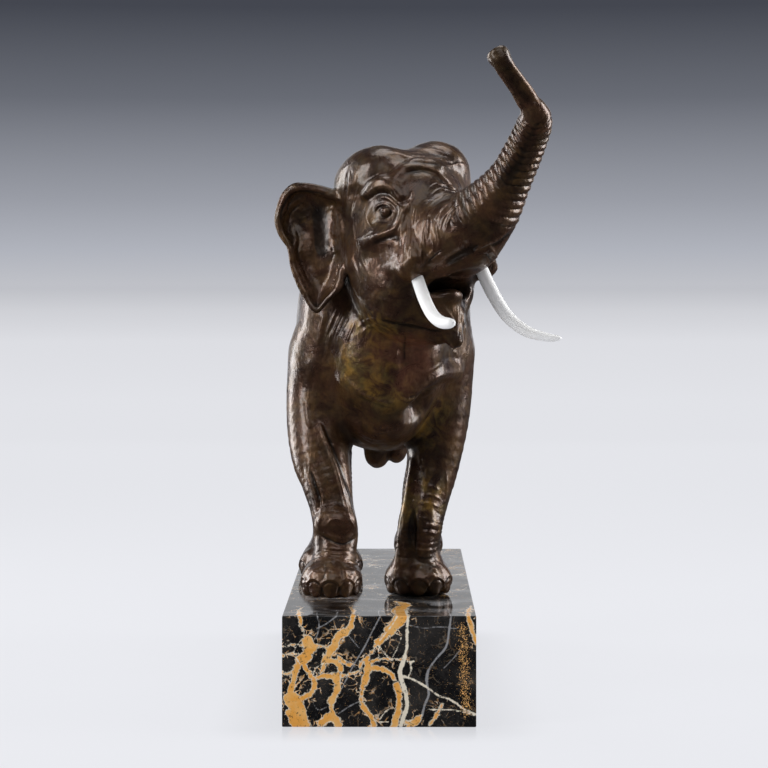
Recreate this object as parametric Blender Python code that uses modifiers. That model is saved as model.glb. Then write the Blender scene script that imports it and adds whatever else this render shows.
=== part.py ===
"""A bronze elephant with white tusks, stepping forward on a polished marble plinth.

Metres, +Z up. The origin is the centre of the plinth's underside. The animal faces -Y and turns
its head towards +X, its own left. It is built up as a sculptor builds clay: rounded masses are
joined softly, one after another, and their common surface becomes one closed casting.
"""

import bmesh
import bpy
import numpy as np
import openvdb

# Plinth
PLINTH_WIDTH = 0.140
PLINTH_DEPTH = 0.410
PLINTH_HEIGHT = 0.080
PLINTH_EDGE = 0.0008

# Space left between pieces that touch
FIT_GAP = 0.0003

# Tusk sockets go a little deeper than the tusks; coincident points closer than this are one
SOCKET_DEPTH = 0.0006
WELD = 0.00001
SHARP_ANGLE = 0.9

# Fineness of the casting
VOXEL = 0.0025
FAR = 0.060
MARGIN = 0.006
FACETS = 8450
SMOOTHING_PASSES = 2

# Body masses: middle (x, y, height above the plinth), radii along x, y and z, softness of the join
BODY = {
    "barrel": ((0.001, 0.045, 0.205), (0.072, 0.118, 0.099), 0.010),
    "back": ((0.000, 0.025, 0.262), (0.054, 0.112, 0.064), 0.020),
    "chest": ((0.001, -0.072, 0.200), (0.058, 0.074, 0.086), 0.018),
    "breast": ((0.000, -0.104, 0.178), (0.040, 0.044, 0.058), 0.012),
    "left breast": ((0.026, -0.112, 0.195), (0.024, 0.030, 0.040), 0.008),
    "breastbone": ((0.000, -0.098, 0.142), (0.030, 0.040, 0.030), 0.010),
    "croup": ((0.000, 0.126, 0.208), (0.062, 0.072, 0.088), 0.020),
    "withers": ((-0.002, -0.030, 0.268), (0.058, 0.074, 0.060), 0.020),
    "belly": ((0.002, 0.030, 0.158), (0.060, 0.118, 0.052), 0.020),
    "right shoulder": ((-0.037, -0.086, 0.212), (0.027, 0.040, 0.066), 0.010),
    "left shoulder": ((0.042, -0.068, 0.212), (0.028, 0.040, 0.068), 0.010),
    "right haunch": ((-0.036, 0.112, 0.190), (0.036, 0.058, 0.074), 0.012),
    "left haunch": ((0.036, 0.134, 0.190), (0.036, 0.056, 0.076), 0.012),
    "right hip": ((-0.034, 0.086, 0.284), (0.014, 0.022, 0.014), 0.016),
    "left hip": ((0.034, 0.090, 0.284), (0.014, 0.022, 0.014), 0.016),
    "sheath": ((-0.004, 0.058, 0.099), (0.011, 0.018, 0.014), 0.006),
    "sheath fold": ((0.012, 0.060, 0.101), (0.009, 0.016, 0.012), 0.003),
}

# Limbs, neck and long ridges: stations (x, y, height, radius) from the body outwards, softness of the join
LIMBS = {
    "neck": (
        [(0.000, -0.050, 0.258, 0.054), (0.008, -0.095, 0.264, 0.050), (0.016, -0.122, 0.266, 0.042)],
        0.014,
    ),
    "throat": ([(0.004, -0.104, 0.235, 0.034), (0.016, -0.118, 0.232, 0.026)], 0.012),
    "right neck cord": (
        [(-0.026, -0.104, 0.262, 0.024), (-0.034, -0.110, 0.226, 0.018), (-0.044, -0.106, 0.180, 0.018)],
        0.010,
    ),
    "spine": (
        [
            (0.000, -0.040, 0.322, 0.007),
            (0.000, 0.020, 0.322, 0.007),
            (0.000, 0.090, 0.306, 0.007),
            (0.000, 0.150, 0.282, 0.008),
            (0.000, 0.182, 0.262, 0.009),
        ],
        0.012,
    ),
    "right foreleg": (
        [
            (-0.044, -0.092, 0.185, 0.027),
            (-0.0465, -0.100, 0.140, 0.0255),
            (-0.0455, -0.112, 0.110, 0.0225),
            (-0.0405, -0.122, 0.090, 0.0190),
            (-0.0360, -0.130, 0.069, 0.0163),
            (-0.0333, -0.136, 0.054, 0.0168),
            (-0.0336, -0.141, 0.040, 0.0160),
            (-0.0345, -0.144, 0.028, 0.0152),
            (-0.0355, -0.147, 0.018, 0.0175),
        ],
        0.010,
    ),
    "left foreleg": (
        [
            (0.046, -0.066, 0.185, 0.027),
            (0.0445, -0.064, 0.140, 0.0255),
            (0.0410, -0.070, 0.100, 0.0205),
            (0.0355, -0.077, 0.072, 0.0174),
            (0.0310, -0.081, 0.054, 0.0173),
            (0.0292, -0.081, 0.036, 0.0168),
            (0.0288, -0.080, 0.020, 0.0180),
        ],
        0.010,
    ),
    "right hind leg": (
        [
            (-0.038, 0.112, 0.175, 0.036),
            (-0.048, 0.078, 0.122, 0.0245),
            (-0.0450, 0.066, 0.090, 0.0195),
            (-0.0420, 0.054, 0.058, 0.0175),
            (-0.0405, 0.038, 0.034, 0.0165),
            (-0.0415, 0.026, 0.018, 0.0185),
        ],
        0.012,
    ),
    "left hind leg": (
        [
            (0.038, 0.130, 0.175, 0.036),
            (0.045, 0.122, 0.124, 0.0250),
            (0.0420, 0.142, 0.090, 0.0200),
            (0.0345, 0.160, 0.058, 0.0170),
            (0.0325, 0.156, 0.034, 0.0165),
            (0.0312, 0.152, 0.018, 0.0175),
        ],
        0.012,
    ),
    "tail": (
        [
            (0.000, 0.180, 0.264, 0.0110),
            (0.002, 0.203, 0.245, 0.0075),
            (0.004, 0.205, 0.200, 0.0052),
            (0.005, 0.198, 0.150, 0.0045),
            (0.006, 0.194, 0.112, 0.0060),
            (0.006, 0.193, 0.092, 0.0030),
        ],
        0.006,
    ),
    "right flank fold": (
        [(-0.058, 0.030, 0.128, 0.010), (-0.064, 0.062, 0.146, 0.010), (-0.066, 0.086, 0.172, 0.008)],
        0.008,
    ),
    "left flank fold": (
        [(0.056, 0.060, 0.126, 0.010), (0.062, 0.088, 0.146, 0.010), (0.066, 0.110, 0.172, 0.008)],
        0.008,
    ),
}

# Knees, wrists and elbows that stand out from the legs
JOINTS = {
    "right wrist": ((-0.0335, -0.145, 0.060), (0.0158, 0.0110, 0.0130), 0.004),
    "left wrist": ((0.0340, -0.088, 0.052), (0.0110, 0.0100, 0.0130), 0.005),
    "right elbow": ((-0.0500, -0.082, 0.132), (0.0180, 0.0200, 0.0200), 0.008),
    "left elbow": ((0.0500, -0.044, 0.128), (0.0170, 0.0200, 0.0200), 0.008),
    "right knee": ((-0.0500, 0.066, 0.124), (0.0210, 0.0190, 0.0210), 0.008),
    "left knee": ((0.0470, 0.110, 0.124), (0.0210, 0.0190, 0.0210), 0.008),
    "right hock": ((-0.0425, 0.070, 0.062), (0.0140, 0.0110, 0.0150), 0.008),
    "left hock": ((0.0350, 0.174, 0.062), (0.0140, 0.0110, 0.0150), 0.008),
}

# Feet: middle (x, y), half width, half length, height of the pad's centre, height of the sole
FEET = {
    "right forefoot": (-0.0360, -0.1500, 0.0225, 0.0262, 0.0190, 0.0080),
    "left forefoot": (0.0292, -0.0810, 0.0262, 0.0265, 0.0110, FIT_GAP),
    "right hind foot": (-0.0415, 0.0190, 0.0262, 0.0275, 0.0095, FIT_GAP),
    "left hind foot": (0.0312, 0.1500, 0.0205, 0.0265, 0.0100, FIT_GAP),
}
PAD_HEIGHT = 0.0160
PAD_BLEND = 0.010
SOLE_REACH = 0.020
SOLE_EDGE = 0.0008
NAILS_PER_FOOT = 5
NAIL_SPREAD = 2.3
NAIL_RADII = (0.0054, 0.0034, 0.0056)
NAIL_INSET = 0.0032
NAIL_HEIGHT = 0.0056
NAIL_BLEND = 0.0008
TOE_RADII = (0.0056, 0.0050, 0.0070)
TOE_INSET = 0.0066
TOE_HEIGHT = 0.0130
TOE_BLEND = 0.005

# Head: where its middle is, how far it turns to its left, and how far it lifts
HEAD_MIDDLE = (0.024, -0.140, 0.276)
HEAD_TURN = 43.0
HEAD_LIFT = 17.0
HEAD_BLEND = 0.006

# Head masses, along the head's own axes: forwards, to its right, upwards
HEAD = {
    "skull": ((-0.014, 0.000, 0.006), (0.056, 0.045, 0.056), 0.010),
    "right dome": ((-0.012, 0.015, 0.044), (0.036, 0.028, 0.028), 0.010),
    "left dome": ((0.006, -0.026, 0.044), (0.034, 0.027, 0.027), 0.010),
    "crown": ((0.004, -0.005, 0.040), (0.032, 0.026, 0.021), 0.010),
    "left temple": ((0.004, -0.034, 0.026), (0.026, 0.018, 0.022), 0.010),
    "forehead": ((0.016, 0.000, 0.022), (0.030, 0.034, 0.028), 0.010),
    "right cheek": ((-0.008, 0.020, -0.030), (0.036, 0.026, 0.044), 0.012),
    "left cheek": ((-0.008, -0.020, -0.030), (0.036, 0.026, 0.044), 0.012),
    "upper lip": ((0.024, 0.000, -0.022), (0.030, 0.036, 0.018), 0.010),
}
HEAD_LIMBS = {
    "jaw": (
        [
            (-0.022, 0.000, -0.044, 0.034),
            (0.004, 0.000, -0.062, 0.024),
            (0.0165, 0.000, -0.077, 0.0115),
            (0.0215, 0.000, -0.0885, 0.0055),
        ],
        0.008,
    ),
    "right sheath": ([(0.010, 0.030, -0.010, 0.014), (0.028, 0.037, -0.034, 0.0095)], 0.010),
    "left sheath": ([(0.010, -0.030, -0.010, 0.014), (0.027, -0.040, -0.033, 0.0100)], 0.008),
}
MOUTH = ((0.034, -0.002, -0.0500), (0.034, 0.022, 0.0085), 0.003)
TONGUE = ((0.020, 0.004, -0.0570), (0.017, 0.015, 0.0072), 0.005)

# Relief of the face on the head's right, in the same form; each also stands mirrored on its left
FACE_HOLLOWS = {
    "eye socket": ((0.0155, 0.0450, 0.0120), (0.0105, 0.0055, 0.0080), 0.007),
    "cheek hollow": ((0.0080, 0.0500, -0.0190), (0.0190, 0.0070, 0.0100), 0.006),
    "temple hollow": ((-0.0040, 0.0500, 0.0280), (0.0110, 0.0070, 0.0130), 0.006),
}
FACE_RIDGES = {
    "brow": (
        [
            (0.0020, 0.0395, 0.0300, 0.0035),
            (0.0105, 0.0370, 0.0340, 0.0050),
            (0.0175, 0.0342, 0.0335, 0.0055),
            (0.0242, 0.0318, 0.0286, 0.0048),
            (0.0280, 0.0312, 0.0200, 0.0036),
        ],
        0.003,
    ),
    "pouch under the eye": (
        [
            (-0.0080, 0.0435, -0.0040, 0.0030),
            (0.0097, 0.0432, -0.0050, 0.0035),
            (0.0189, 0.0405, -0.0048, 0.0040),
            (0.0256, 0.0365, -0.0012, 0.0040),
            (0.0300, 0.0318, 0.0085, 0.0035),
        ],
        0.003,
    ),
    "cheekbone": (
        [
            (0.0296, 0.0322, 0.0090, 0.0035),
            (0.0288, 0.0352, -0.0047, 0.0042),
            (0.0325, 0.0370, -0.0190, 0.0050),
            (0.0350, 0.0375, -0.0300, 0.0060),
        ],
        0.004,
    ),
    "forehead edge": (
        [
            (0.0180, 0.0310, 0.0330, 0.0035),
            (0.0250, 0.0270, 0.0362, 0.0050),
            (0.0305, 0.0165, 0.0415, 0.0062),
            (0.0350, 0.0060, 0.0400, 0.0065),
            (0.0370, -0.0010, 0.0380, 0.0065),
        ],
        0.004,
    ),
    "jaw edge": (
        [
            (-0.0240, 0.0395, -0.0180, 0.0040),
            (-0.0230, 0.0375, -0.0380, 0.0040),
            (-0.0130, 0.0325, -0.0570, 0.0040),
        ],
        0.010,
    ),
}
EYEBALL = ((0.0165, 0.0372, 0.0115), (0.0052, 0.0040, 0.0042), 0.0008)

# Relief of the body: ridges and hollows
BODY_HOLLOWS = {
    "left armpit": ((0.033, -0.129, 0.146), (0.013, 0.013, 0.012), 0.010),
    "right armpit": ((-0.021, -0.143, 0.138), (0.007, 0.012, 0.012), 0.008),
    "breast groove": ((0.0185, -0.156, 0.186), (0.004, 0.010, 0.014), 0.006),
    "left shank groove": ((0.0265, -0.103, 0.048), (0.0030, 0.0100, 0.0200), 0.004),
}
BODY_RIDGES = {
    "breast fold": (
        [
            (-0.0262, -0.1320, 0.1672, 0.004),
            (-0.0036, -0.1390, 0.1555, 0.005),
            (0.0140, -0.1360, 0.1500, 0.005),
            (0.0301, -0.1290, 0.1633, 0.005),
            (0.0430, -0.1190, 0.1720, 0.006),
            (0.0574, -0.0920, 0.1722, 0.006),
        ],
        0.006,
    ),
    "right foreleg tendon": (
        [
            (-0.0453, -0.1262, 0.1291, 0.0035),
            (-0.0406, -0.1300, 0.1158, 0.0040),
            (-0.0353, -0.1328, 0.1032, 0.0042),
            (-0.0314, -0.1355, 0.0922, 0.0042),
            (-0.0272, -0.1378, 0.0797, 0.0042),
            (-0.0235, -0.1450, 0.0640, 0.0045),
        ],
        0.003,
    ),
    "right foreleg outer tendon": (
        [(-0.0526, -0.1322, 0.1032, 0.0035), (-0.0494, -0.1360, 0.0885, 0.0038), (-0.0455, -0.1395, 0.0700, 0.0035)],
        0.003,
    ),
    "left foreleg inner tendon": (
        [
            (0.0260, -0.0800, 0.1000, 0.0040),
            (0.0225, -0.0855, 0.0725, 0.0050),
            (0.0185, -0.0900, 0.0500, 0.0050),
            (0.0165, -0.0900, 0.0310, 0.0050),
            (0.0150, -0.0930, 0.0160, 0.0050),
        ],
        0.003,
    ),
    "left foreleg front": (
        [(0.0400, -0.0850, 0.0900, 0.0050), (0.0350, -0.0930, 0.0650, 0.0050), (0.0330, -0.0950, 0.0350, 0.0060)],
        0.006,
    ),
}

# Trunk: stations (x, y, height, radius)
TRUNK = [
    (0.030, -0.146, 0.275, 0.038),
    (0.054, -0.174, 0.272, 0.032),
    (0.076, -0.194, 0.289, 0.0240),
    (0.0935, -0.205, 0.314, 0.0162),
    (0.1070, -0.213, 0.342, 0.0135),
    (0.1115, -0.219, 0.355, 0.0122),
    (0.1105, -0.223, 0.3620, 0.0098),
    (0.1060, -0.226, 0.3690, 0.0074),
    (0.1000, -0.230, 0.3780, 0.0064),
    (0.0905, -0.2355, 0.3905, 0.0060),
    (0.0868, -0.2370, 0.3965, 0.0072),
    (0.0846, -0.2355, 0.4005, 0.0084),
]
TRUNK_BLEND = 0.010
# The flat end of the trunk: how far past its last station, and the form that cuts it off
TRUNK_END = 0.0035
TRUNK_CUT = (0.008, 0.020, 0.020)
TRUNK_CUT_EDGE = 0.0012
NOSTRIL_RADIUS = 0.0024
NOSTRIL_SPREAD = 0.0036
NOSTRIL_SPAN = (0.001, 0.010)
NOSTRIL_EDGE = 0.0008

# Tusks: stations (x, y, height, radius); the first lies inside the socket
RIGHT_TUSK = [
    (0.0235, -0.182, 0.2560, 0.0044),
    (0.0280, -0.191, 0.2420, 0.0046),
    (0.0319, -0.203, 0.2305, 0.0047),
    (0.0363, -0.218, 0.2204, 0.0046),
    (0.0403, -0.229, 0.2149, 0.0045),
    (0.0446, -0.239, 0.2122, 0.0044),
    (0.0488, -0.247, 0.2117, 0.0039),
    (0.0512, -0.2515, 0.2120, 0.0030),
    (0.0520, -0.2530, 0.2122, 0.0018),
]
LEFT_TUSK = [
    (0.0700, -0.1440, 0.2640, 0.0048),
    (0.0762, -0.1495, 0.2490, 0.0050),
    (0.0838, -0.1545, 0.2325, 0.0050),
    (0.0945, -0.159, 0.2155, 0.0047),
    (0.1080, -0.166, 0.2045, 0.0042),
    (0.1235, -0.172, 0.2000, 0.0031),
    (0.1305, -0.1745, 0.1995, 0.0021),
    (0.1325, -0.1752, 0.1995, 0.0012),
]

# Ears: the outline of the right one, as (distance out from the root, height); the left one mirrors it
EAR_OUTLINE = [
    (-0.008, 0.302),
    (0.012, 0.3105),
    (0.037, 0.3150),
    (0.049, 0.3070),
    (0.054, 0.2900),
    (0.051, 0.2770),
    (0.0435, 0.2660),
    (0.0400, 0.2500),
    (0.0320, 0.2330),
    (0.0205, 0.2180),
    (0.0110, 0.2270),
    (0.0010, 0.2380),
    (-0.0020, 0.2520),
    (-0.008, 0.262),
]
EAR_THICKNESS = 0.0046
EAR_RIM = (0.0017, 0.0036)
EAR_HOLLOW = 0.0130
EAR_SLOPE = 0.0160
EAR_ROLL = 0.0300
EAR_SOFTNESS = 0.003
EAR_REACH = 0.075
EAR_LEAN = 0.12
EAR_ROOTS = {
    "right ear": ((-0.0265, -0.145), -1.0, 12.0, 0.0),
    "left ear": ((0.055, -0.100), 1.0, 24.0, 0.38),
}
EAR_BLEND = 0.003

# Colours and finish: base colour, metallic, roughness
BRONZE = ((0.060, 0.030, 0.016), 1.0, 0.32)
TUSK_WHITE = ((0.86, 0.85, 0.82), 0.0, 0.35)
BLACK_MARBLE = ((0.020, 0.019, 0.020), 0.0, 0.12)


def turned_axes(turn, lift):
    """The head's own axes as rows: forwards, to its right, upwards."""
    turn, lift = np.radians(turn), np.radians(lift)
    forwards = np.array([np.sin(turn) * np.cos(lift), -np.cos(turn) * np.cos(lift), np.sin(lift)])
    rightwards = np.array([-np.cos(turn), -np.sin(turn), 0.0])
    return np.array([forwards, rightwards, np.cross(rightwards, forwards)])


HEAD_AXES = turned_axes(HEAD_TURN, HEAD_LIFT)
UPRIGHT = np.eye(3)


def on_head(place):
    """A point given along the head's axes, in the body's frame."""
    return np.array(HEAD_MIDDLE) + np.array(place) @ HEAD_AXES


def smooth_path(stations, steps=5):
    """Stations joined by a smooth curve through all of them (Catmull-Rom), radius included."""
    knots = np.array(stations, dtype=float)
    ends = (2 * knots[:1] - knots[1:2], knots, 2 * knots[-1:] - knots[-2:-1])
    knots = np.concatenate(ends)
    t = np.linspace(0, 1, steps, endpoint=False)[:, None]
    pieces = []
    for before, start, stop, after in zip(knots[:-3], knots[1:-2], knots[2:-1], knots[3:]):
        slope = (stop - before) / 2
        bend = before - 2.5 * start + 2 * stop - after / 2
        swing = (after - before) / 2 + 1.5 * (start - stop)
        pieces.append(start + t * (slope + t * (bend + t * swing)))
    pieces.append(knots[-2:-1])
    return np.concatenate(pieces)


def soft_join(first, second, blend):
    """The union of two distances, rounded where they meet."""
    share = np.clip(0.5 + 0.5 * (second - first) / blend, 0, 1)
    return second + (first - second) * share - blend * share * (1 - share)


def soft_cut(body, tool, blend):
    """The body without the tool, rounded where they meet."""
    return -soft_join(-body, tool, blend)


class Mass:
    """A rounded form: the box that holds it, its distance from any point, and how softly it joins."""

    def __init__(self, low, high, blend, distance, join=soft_join):
        self.low = np.array(low) - blend - MARGIN
        self.high = np.array(high) + blend + MARGIN
        self.blend = blend
        self.distance = distance
        self.join = join


def ellipsoid(middle, radii, blend, axes=UPRIGHT, join=soft_join):
    middle, radii = np.array(middle), np.array(radii)

    def distance(x, y, z):
        x, y, z = x - middle[0], y - middle[1], z - middle[2]
        along = [axis[0] * x + axis[1] * y + axis[2] * z for axis in axes]
        near = np.sqrt(sum((a / r) ** 2 for a, r in zip(along, radii)))
        steep = np.sqrt(sum((a / r**2) ** 2 for a, r in zip(along, radii)))
        return near * (near - 1) / np.maximum(steep, 1e-6)

    reach = np.sqrt(((axes * radii[:, None]) ** 2).sum(axis=0))
    return Mass(middle - reach, middle + reach, blend, distance, join)


def limb(path, blend, join=soft_join):
    """A tube along a path whose rows are x, y, z and radius."""
    places, radii = path[:, :3], path[:, 3]

    def distance(x, y, z):
        nearest = None
        for start, stop, thin, thick in zip(places[:-1], places[1:], radii[:-1], radii[1:]):
            run = stop - start
            dx, dy, dz = x - start[0], y - start[1], z - start[2]
            share = np.clip((dx * run[0] + dy * run[1] + dz * run[2]) / (run @ run), 0, 1)
            gap = np.sqrt(
                (dx - share * run[0]) ** 2 + (dy - share * run[1]) ** 2 + (dz - share * run[2]) ** 2
            )
            gap = gap - thin - share * (thick - thin)
            nearest = gap if nearest is None else np.minimum(nearest, gap)
        return nearest

    reach = radii[:, None]
    return Mass((places - reach).min(axis=0), (places + reach).max(axis=0), blend, distance, join)


def foot(x, y, half_width, half_length, pad, sole):
    """A round pad that stands on a flat sole, with toes and nails around its front."""
    forms = [ellipsoid((x, y, pad), (half_width, half_length, PAD_HEIGHT), PAD_BLEND)]
    for i in range(NAILS_PER_FOOT):
        angle = NAIL_SPREAD * (i / (NAILS_PER_FOOT - 1) - 0.5)
        out = np.array([np.sin(angle), -np.cos(angle)])
        rim = np.array([x, y]) + out * (half_width, half_length)
        axes = np.array([[out[1], -out[0], 0], [out[0], out[1], 0], [0, 0, 1.0]])
        toe = (*(rim - out * TOE_INSET), sole + TOE_HEIGHT)
        nail = (*(rim - out * NAIL_INSET), sole + NAIL_HEIGHT)
        forms.append(ellipsoid(toe, TOE_RADII, TOE_BLEND, axes))
        forms.append(ellipsoid(nail, NAIL_RADII, NAIL_BLEND, axes))

    def below_sole(x, y, z):
        return z - sole + 0 * x + 0 * y

    low = (x - half_width - SOLE_REACH, y - half_length - SOLE_REACH, sole - SOLE_REACH)
    high = (x + half_width + SOLE_REACH, y + half_length + SOLE_REACH, sole + SOLE_REACH)
    return [*forms, Mass(low, high, SOLE_EDGE, below_sole, soft_cut)]


def outline_distance(outline, across, up):
    """Distance from points to a closed outline, negative inside it."""
    shape = np.broadcast_shapes(across.shape, up.shape)
    squared = np.full(shape, np.inf)
    inside = np.zeros(shape, dtype=bool)
    for start, stop in zip(outline, np.roll(outline, -1, axis=0)):
        run = stop - start
        da, du = across - start[0], up - start[1]
        share = np.clip((da * run[0] + du * run[1]) / (run @ run), 0, 1)
        squared = np.minimum(squared, (da - share * run[0]) ** 2 + (du - share * run[1]) ** 2)
        spans = (start[1] <= up) != (stop[1] <= up)
        side = run[0] * du - run[1] * da
        inside ^= spans & ((side > 0) != (run[1] > 0))
    return np.where(inside, -np.sqrt(squared), np.sqrt(squared))


def ear(root, side, sweep, tuck):
    """A thick leaf that stands out from the head: a rolled rim around a hollow, its tip tucked in."""
    outline = smooth_path([*EAR_OUTLINE, EAR_OUTLINE[0]], 4)[:-1]
    outline[:, 0] -= tuck * (outline[:, 1].max() - outline[:, 1])
    sweep = np.radians(sweep)
    out = np.array([side * np.cos(sweep), np.sin(sweep)])
    back = np.array([-out[1], out[0]]) * side
    middle_height = outline[:, 1].mean()

    def distance(x, y, z):
        across = (x - root[0]) * out[0] + (y - root[1]) * out[1]
        depth = (x - root[0]) * back[0] + (y - root[1]) * back[1] - EAR_LEAN * (z - middle_height)
        edge = outline_distance(outline, across, z + 0 * across)
        sunk = EAR_HOLLOW * np.sin(np.clip(-edge / EAR_SLOPE, 0, 1) * np.pi / 2)
        sheet = soft_cut(np.abs(depth - sunk) - EAR_THICKNESS / 2, -edge, EAR_SOFTNESS)
        raised = np.clip((z - middle_height) / EAR_ROLL, 0, 1)
        thick = EAR_RIM[0] + (EAR_RIM[1] - EAR_RIM[0]) * raised
        rim = np.hypot(edge + thick, depth) - thick
        return soft_join(sheet, rim, EAR_SOFTNESS)

    reach = np.array([EAR_REACH, EAR_REACH, 0])
    low = np.array([root[0], root[1], outline[:, 1].min()]) - reach
    high = np.array([root[0], root[1], outline[:, 1].max()]) + reach
    return Mass(low, high, EAR_BLEND, distance)


def group(masses, blend):
    """Several masses joined with each other first, and then with the rest as one form."""

    def distance(x, y, z):
        whole = masses[0].distance(x, y, z)
        for mass in masses[1:]:
            whole = mass.join(whole, mass.distance(x, y, z), mass.blend)
        return whole

    low = np.min([mass.low for mass in masses], axis=0)
    high = np.max([mass.high for mass in masses], axis=0)
    return Mass(low, high, blend, distance)


def head():
    """Skull, cheeks, jaw, tusk sheaths and trunk, with the mouth cut between lip and jaw."""
    masses = [ellipsoid(on_head(place), radii, blend, HEAD_AXES) for place, radii, blend in HEAD.values()]
    for stations, blend in HEAD_LIMBS.values():
        placed = [(*on_head(station[:3]), station[3]) for station in stations]
        masses.append(limb(smooth_path(placed), blend))
    masses.append(limb(smooth_path(TRUNK), TRUNK_BLEND))
    masses += face(np.array([1, 1, 1]))
    masses += face(np.array([1, -1, 1]))
    place, radii, blend = MOUTH
    masses.append(ellipsoid(on_head(place), radii, blend, HEAD_AXES, soft_cut))
    place, radii, blend = TONGUE
    masses.append(ellipsoid(on_head(place), radii, blend, HEAD_AXES))
    return group(masses, HEAD_BLEND)


def face(mirror):
    """Hollows, ridges and eyeball of one side of the face."""
    masses = []
    for place, radii, blend in FACE_HOLLOWS.values():
        masses.append(ellipsoid(on_head(mirror * place), radii, blend, HEAD_AXES, soft_cut))
    for stations, blend in FACE_RIDGES.values():
        placed = [(*on_head(mirror * station[:3]), station[3]) for station in stations]
        masses.append(limb(smooth_path(placed), blend))
    place, radii, blend = EYEBALL
    masses.append(ellipsoid(on_head(mirror * place), radii, blend, HEAD_AXES))
    return masses


def trunk_end():
    """The cuts at the end of the trunk: flat across, with two round nostrils."""
    tip, before = np.array(TRUNK[-1][:3]), np.array(TRUNK[-2][:3])
    along = (tip - before) / np.linalg.norm(tip - before)
    across = np.cross(along, (0, 1, 0))
    across /= np.linalg.norm(across)
    axes = np.array([along, across, np.cross(along, across)])
    middle = tip + (TRUNK_END + TRUNK_CUT[0]) * along
    holes = [ellipsoid(middle, TRUNK_CUT, TRUNK_CUT_EDGE, axes, soft_cut)]
    for side in (-1, 1):
        middle = tip + side * NOSTRIL_SPREAD * across
        ends = [(*(middle + reach * along), NOSTRIL_RADIUS) for reach in NOSTRIL_SPAN]
        holes.append(limb(np.array(ends), NOSTRIL_EDGE, soft_cut))
    return holes


def elephant_masses():
    """Every form of the casting, in the order in which they are joined."""
    masses = [ellipsoid(*mass) for mass in BODY.values()]
    masses += [limb(smooth_path(stations), blend) for stations, blend in LIMBS.values()]
    masses += [ellipsoid(*mass) for mass in JOINTS.values()]
    masses += [ellipsoid(*mass, join=soft_cut) for mass in BODY_HOLLOWS.values()]
    masses += [limb(smooth_path(stations), blend) for stations, blend in BODY_RIDGES.values()]
    for size in FEET.values():
        masses += foot(*size)
    masses.append(head())
    masses += trunk_end()
    masses += [ear(*place) for place in EAR_ROOTS.values()]
    return masses


def common_surface(masses, step):
    """The closed surface of all the masses, as points, triangles and quads."""
    low = np.min([mass.low for mass in masses], axis=0)
    high = np.max([mass.high for mass in masses], axis=0)
    axes = [np.arange(a, b, step) for a, b in zip(low, high)]
    field = np.full([len(axis) for axis in axes], FAR, dtype=np.float32)
    for mass in masses:
        ranges = [np.searchsorted(axis, ends) for axis, *ends in zip(axes, mass.low, mass.high)]
        window = tuple(slice(*ends) for ends in ranges)
        x, y, z = np.ix_(*[axis[part] for axis, part in zip(axes, window)])
        field[window] = mass.join(field[window], mass.distance(x, y, z), mass.blend)
    grid = openvdb.FloatGrid(FAR)
    grid.copyFromArray(field)
    grid.transform = openvdb.createLinearTransform(voxelSize=step)
    points, triangles, quads = grid.convertToPolygons(isovalue=0.0, adaptivity=0.0)
    return points + low, triangles, quads


def material(name, colour, metallic, roughness):
    made = bpy.data.materials.new(name)
    made.use_nodes = True
    shader = made.node_tree.nodes["Principled BSDF"]
    shader.inputs["Base Color"].default_value = (*colour, 1)
    shader.inputs["Metallic"].default_value = metallic
    shader.inputs["Roughness"].default_value = roughness
    return made


def add_object(name, mesh, finish, collection):
    made = bpy.data.objects.new(name, mesh)
    mesh.materials.clear()
    mesh.materials.append(finish)
    collection.objects.link(made)
    return made


def build_elephant(collection):
    points, triangles, quads = common_surface(elephant_masses(), VOXEL)
    mesh = bpy.data.meshes.new("elephant")
    faces = [tuple(face) for face in triangles] + [tuple(face) for face in quads]
    mesh.from_pydata(points.tolist(), [], faces)
    mesh.validate()
    made = add_object("elephant", mesh, material("bronze", *BRONZE), collection)
    made.location.z = PLINTH_HEIGHT
    smooth = made.modifiers.new("even out the surface", "SMOOTH")
    smooth.iterations = SMOOTHING_PASSES
    fewer = made.modifiers.new("larger facets", "DECIMATE")
    count = len(triangles) + 2 * len(quads)
    fewer.ratio = FACETS / count
    mesh.shade_smooth()
    return made


def build_tusk(name, stations, finish, collection, swell=0.0):
    """A tusk is a curve whose thickness follows its stations, made a mesh with welded caps."""
    curve = bpy.data.curves.new(name, "CURVE")
    curve.dimensions = "3D"
    curve.bevel_depth = 1.0
    curve.bevel_resolution = 4
    curve.use_fill_caps = True
    path = smooth_path(stations, 3)
    line = curve.splines.new("POLY")
    line.points.add(len(path) - 1)
    for point, (x, y, z, radius) in zip(line.points, path):
        point.co = (x, y, z, 1)
        point.radius = radius + swell
    shape = bpy.data.objects.new(name, curve)
    collection.objects.link(shape)
    mesh = bpy.data.meshes.new_from_object(shape.evaluated_get(bpy.context.evaluated_depsgraph_get()))
    bpy.data.objects.remove(shape)
    work = bmesh.new()
    work.from_mesh(mesh)
    bmesh.ops.remove_doubles(work, verts=work.verts, dist=WELD)
    work.to_mesh(mesh)
    work.free()
    mesh.shade_smooth()
    mesh.set_sharp_from_angle(angle=SHARP_ANGLE)
    made = add_object(name, mesh, finish, collection)
    made.location.z = PLINTH_HEIGHT
    return made


def cut_socket(elephant, name, stations, finish, cutters):
    """The socket is the tusk's own shape, wider by the fit and a little deeper."""
    ends = np.array(stations)
    inwards = (ends[0] - ends[1])[:3] / np.linalg.norm((ends[0] - ends[1])[:3])
    ends[0, :3] += SOCKET_DEPTH * inwards
    cutter = build_tusk(name, ends, finish, cutters, FIT_GAP)
    cutter.hide_render = True
    cutter.display_type = "WIRE"
    cut = elephant.modifiers.new(name, "BOOLEAN")
    cut.operation = "DIFFERENCE"
    cut.object = cutter


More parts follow.
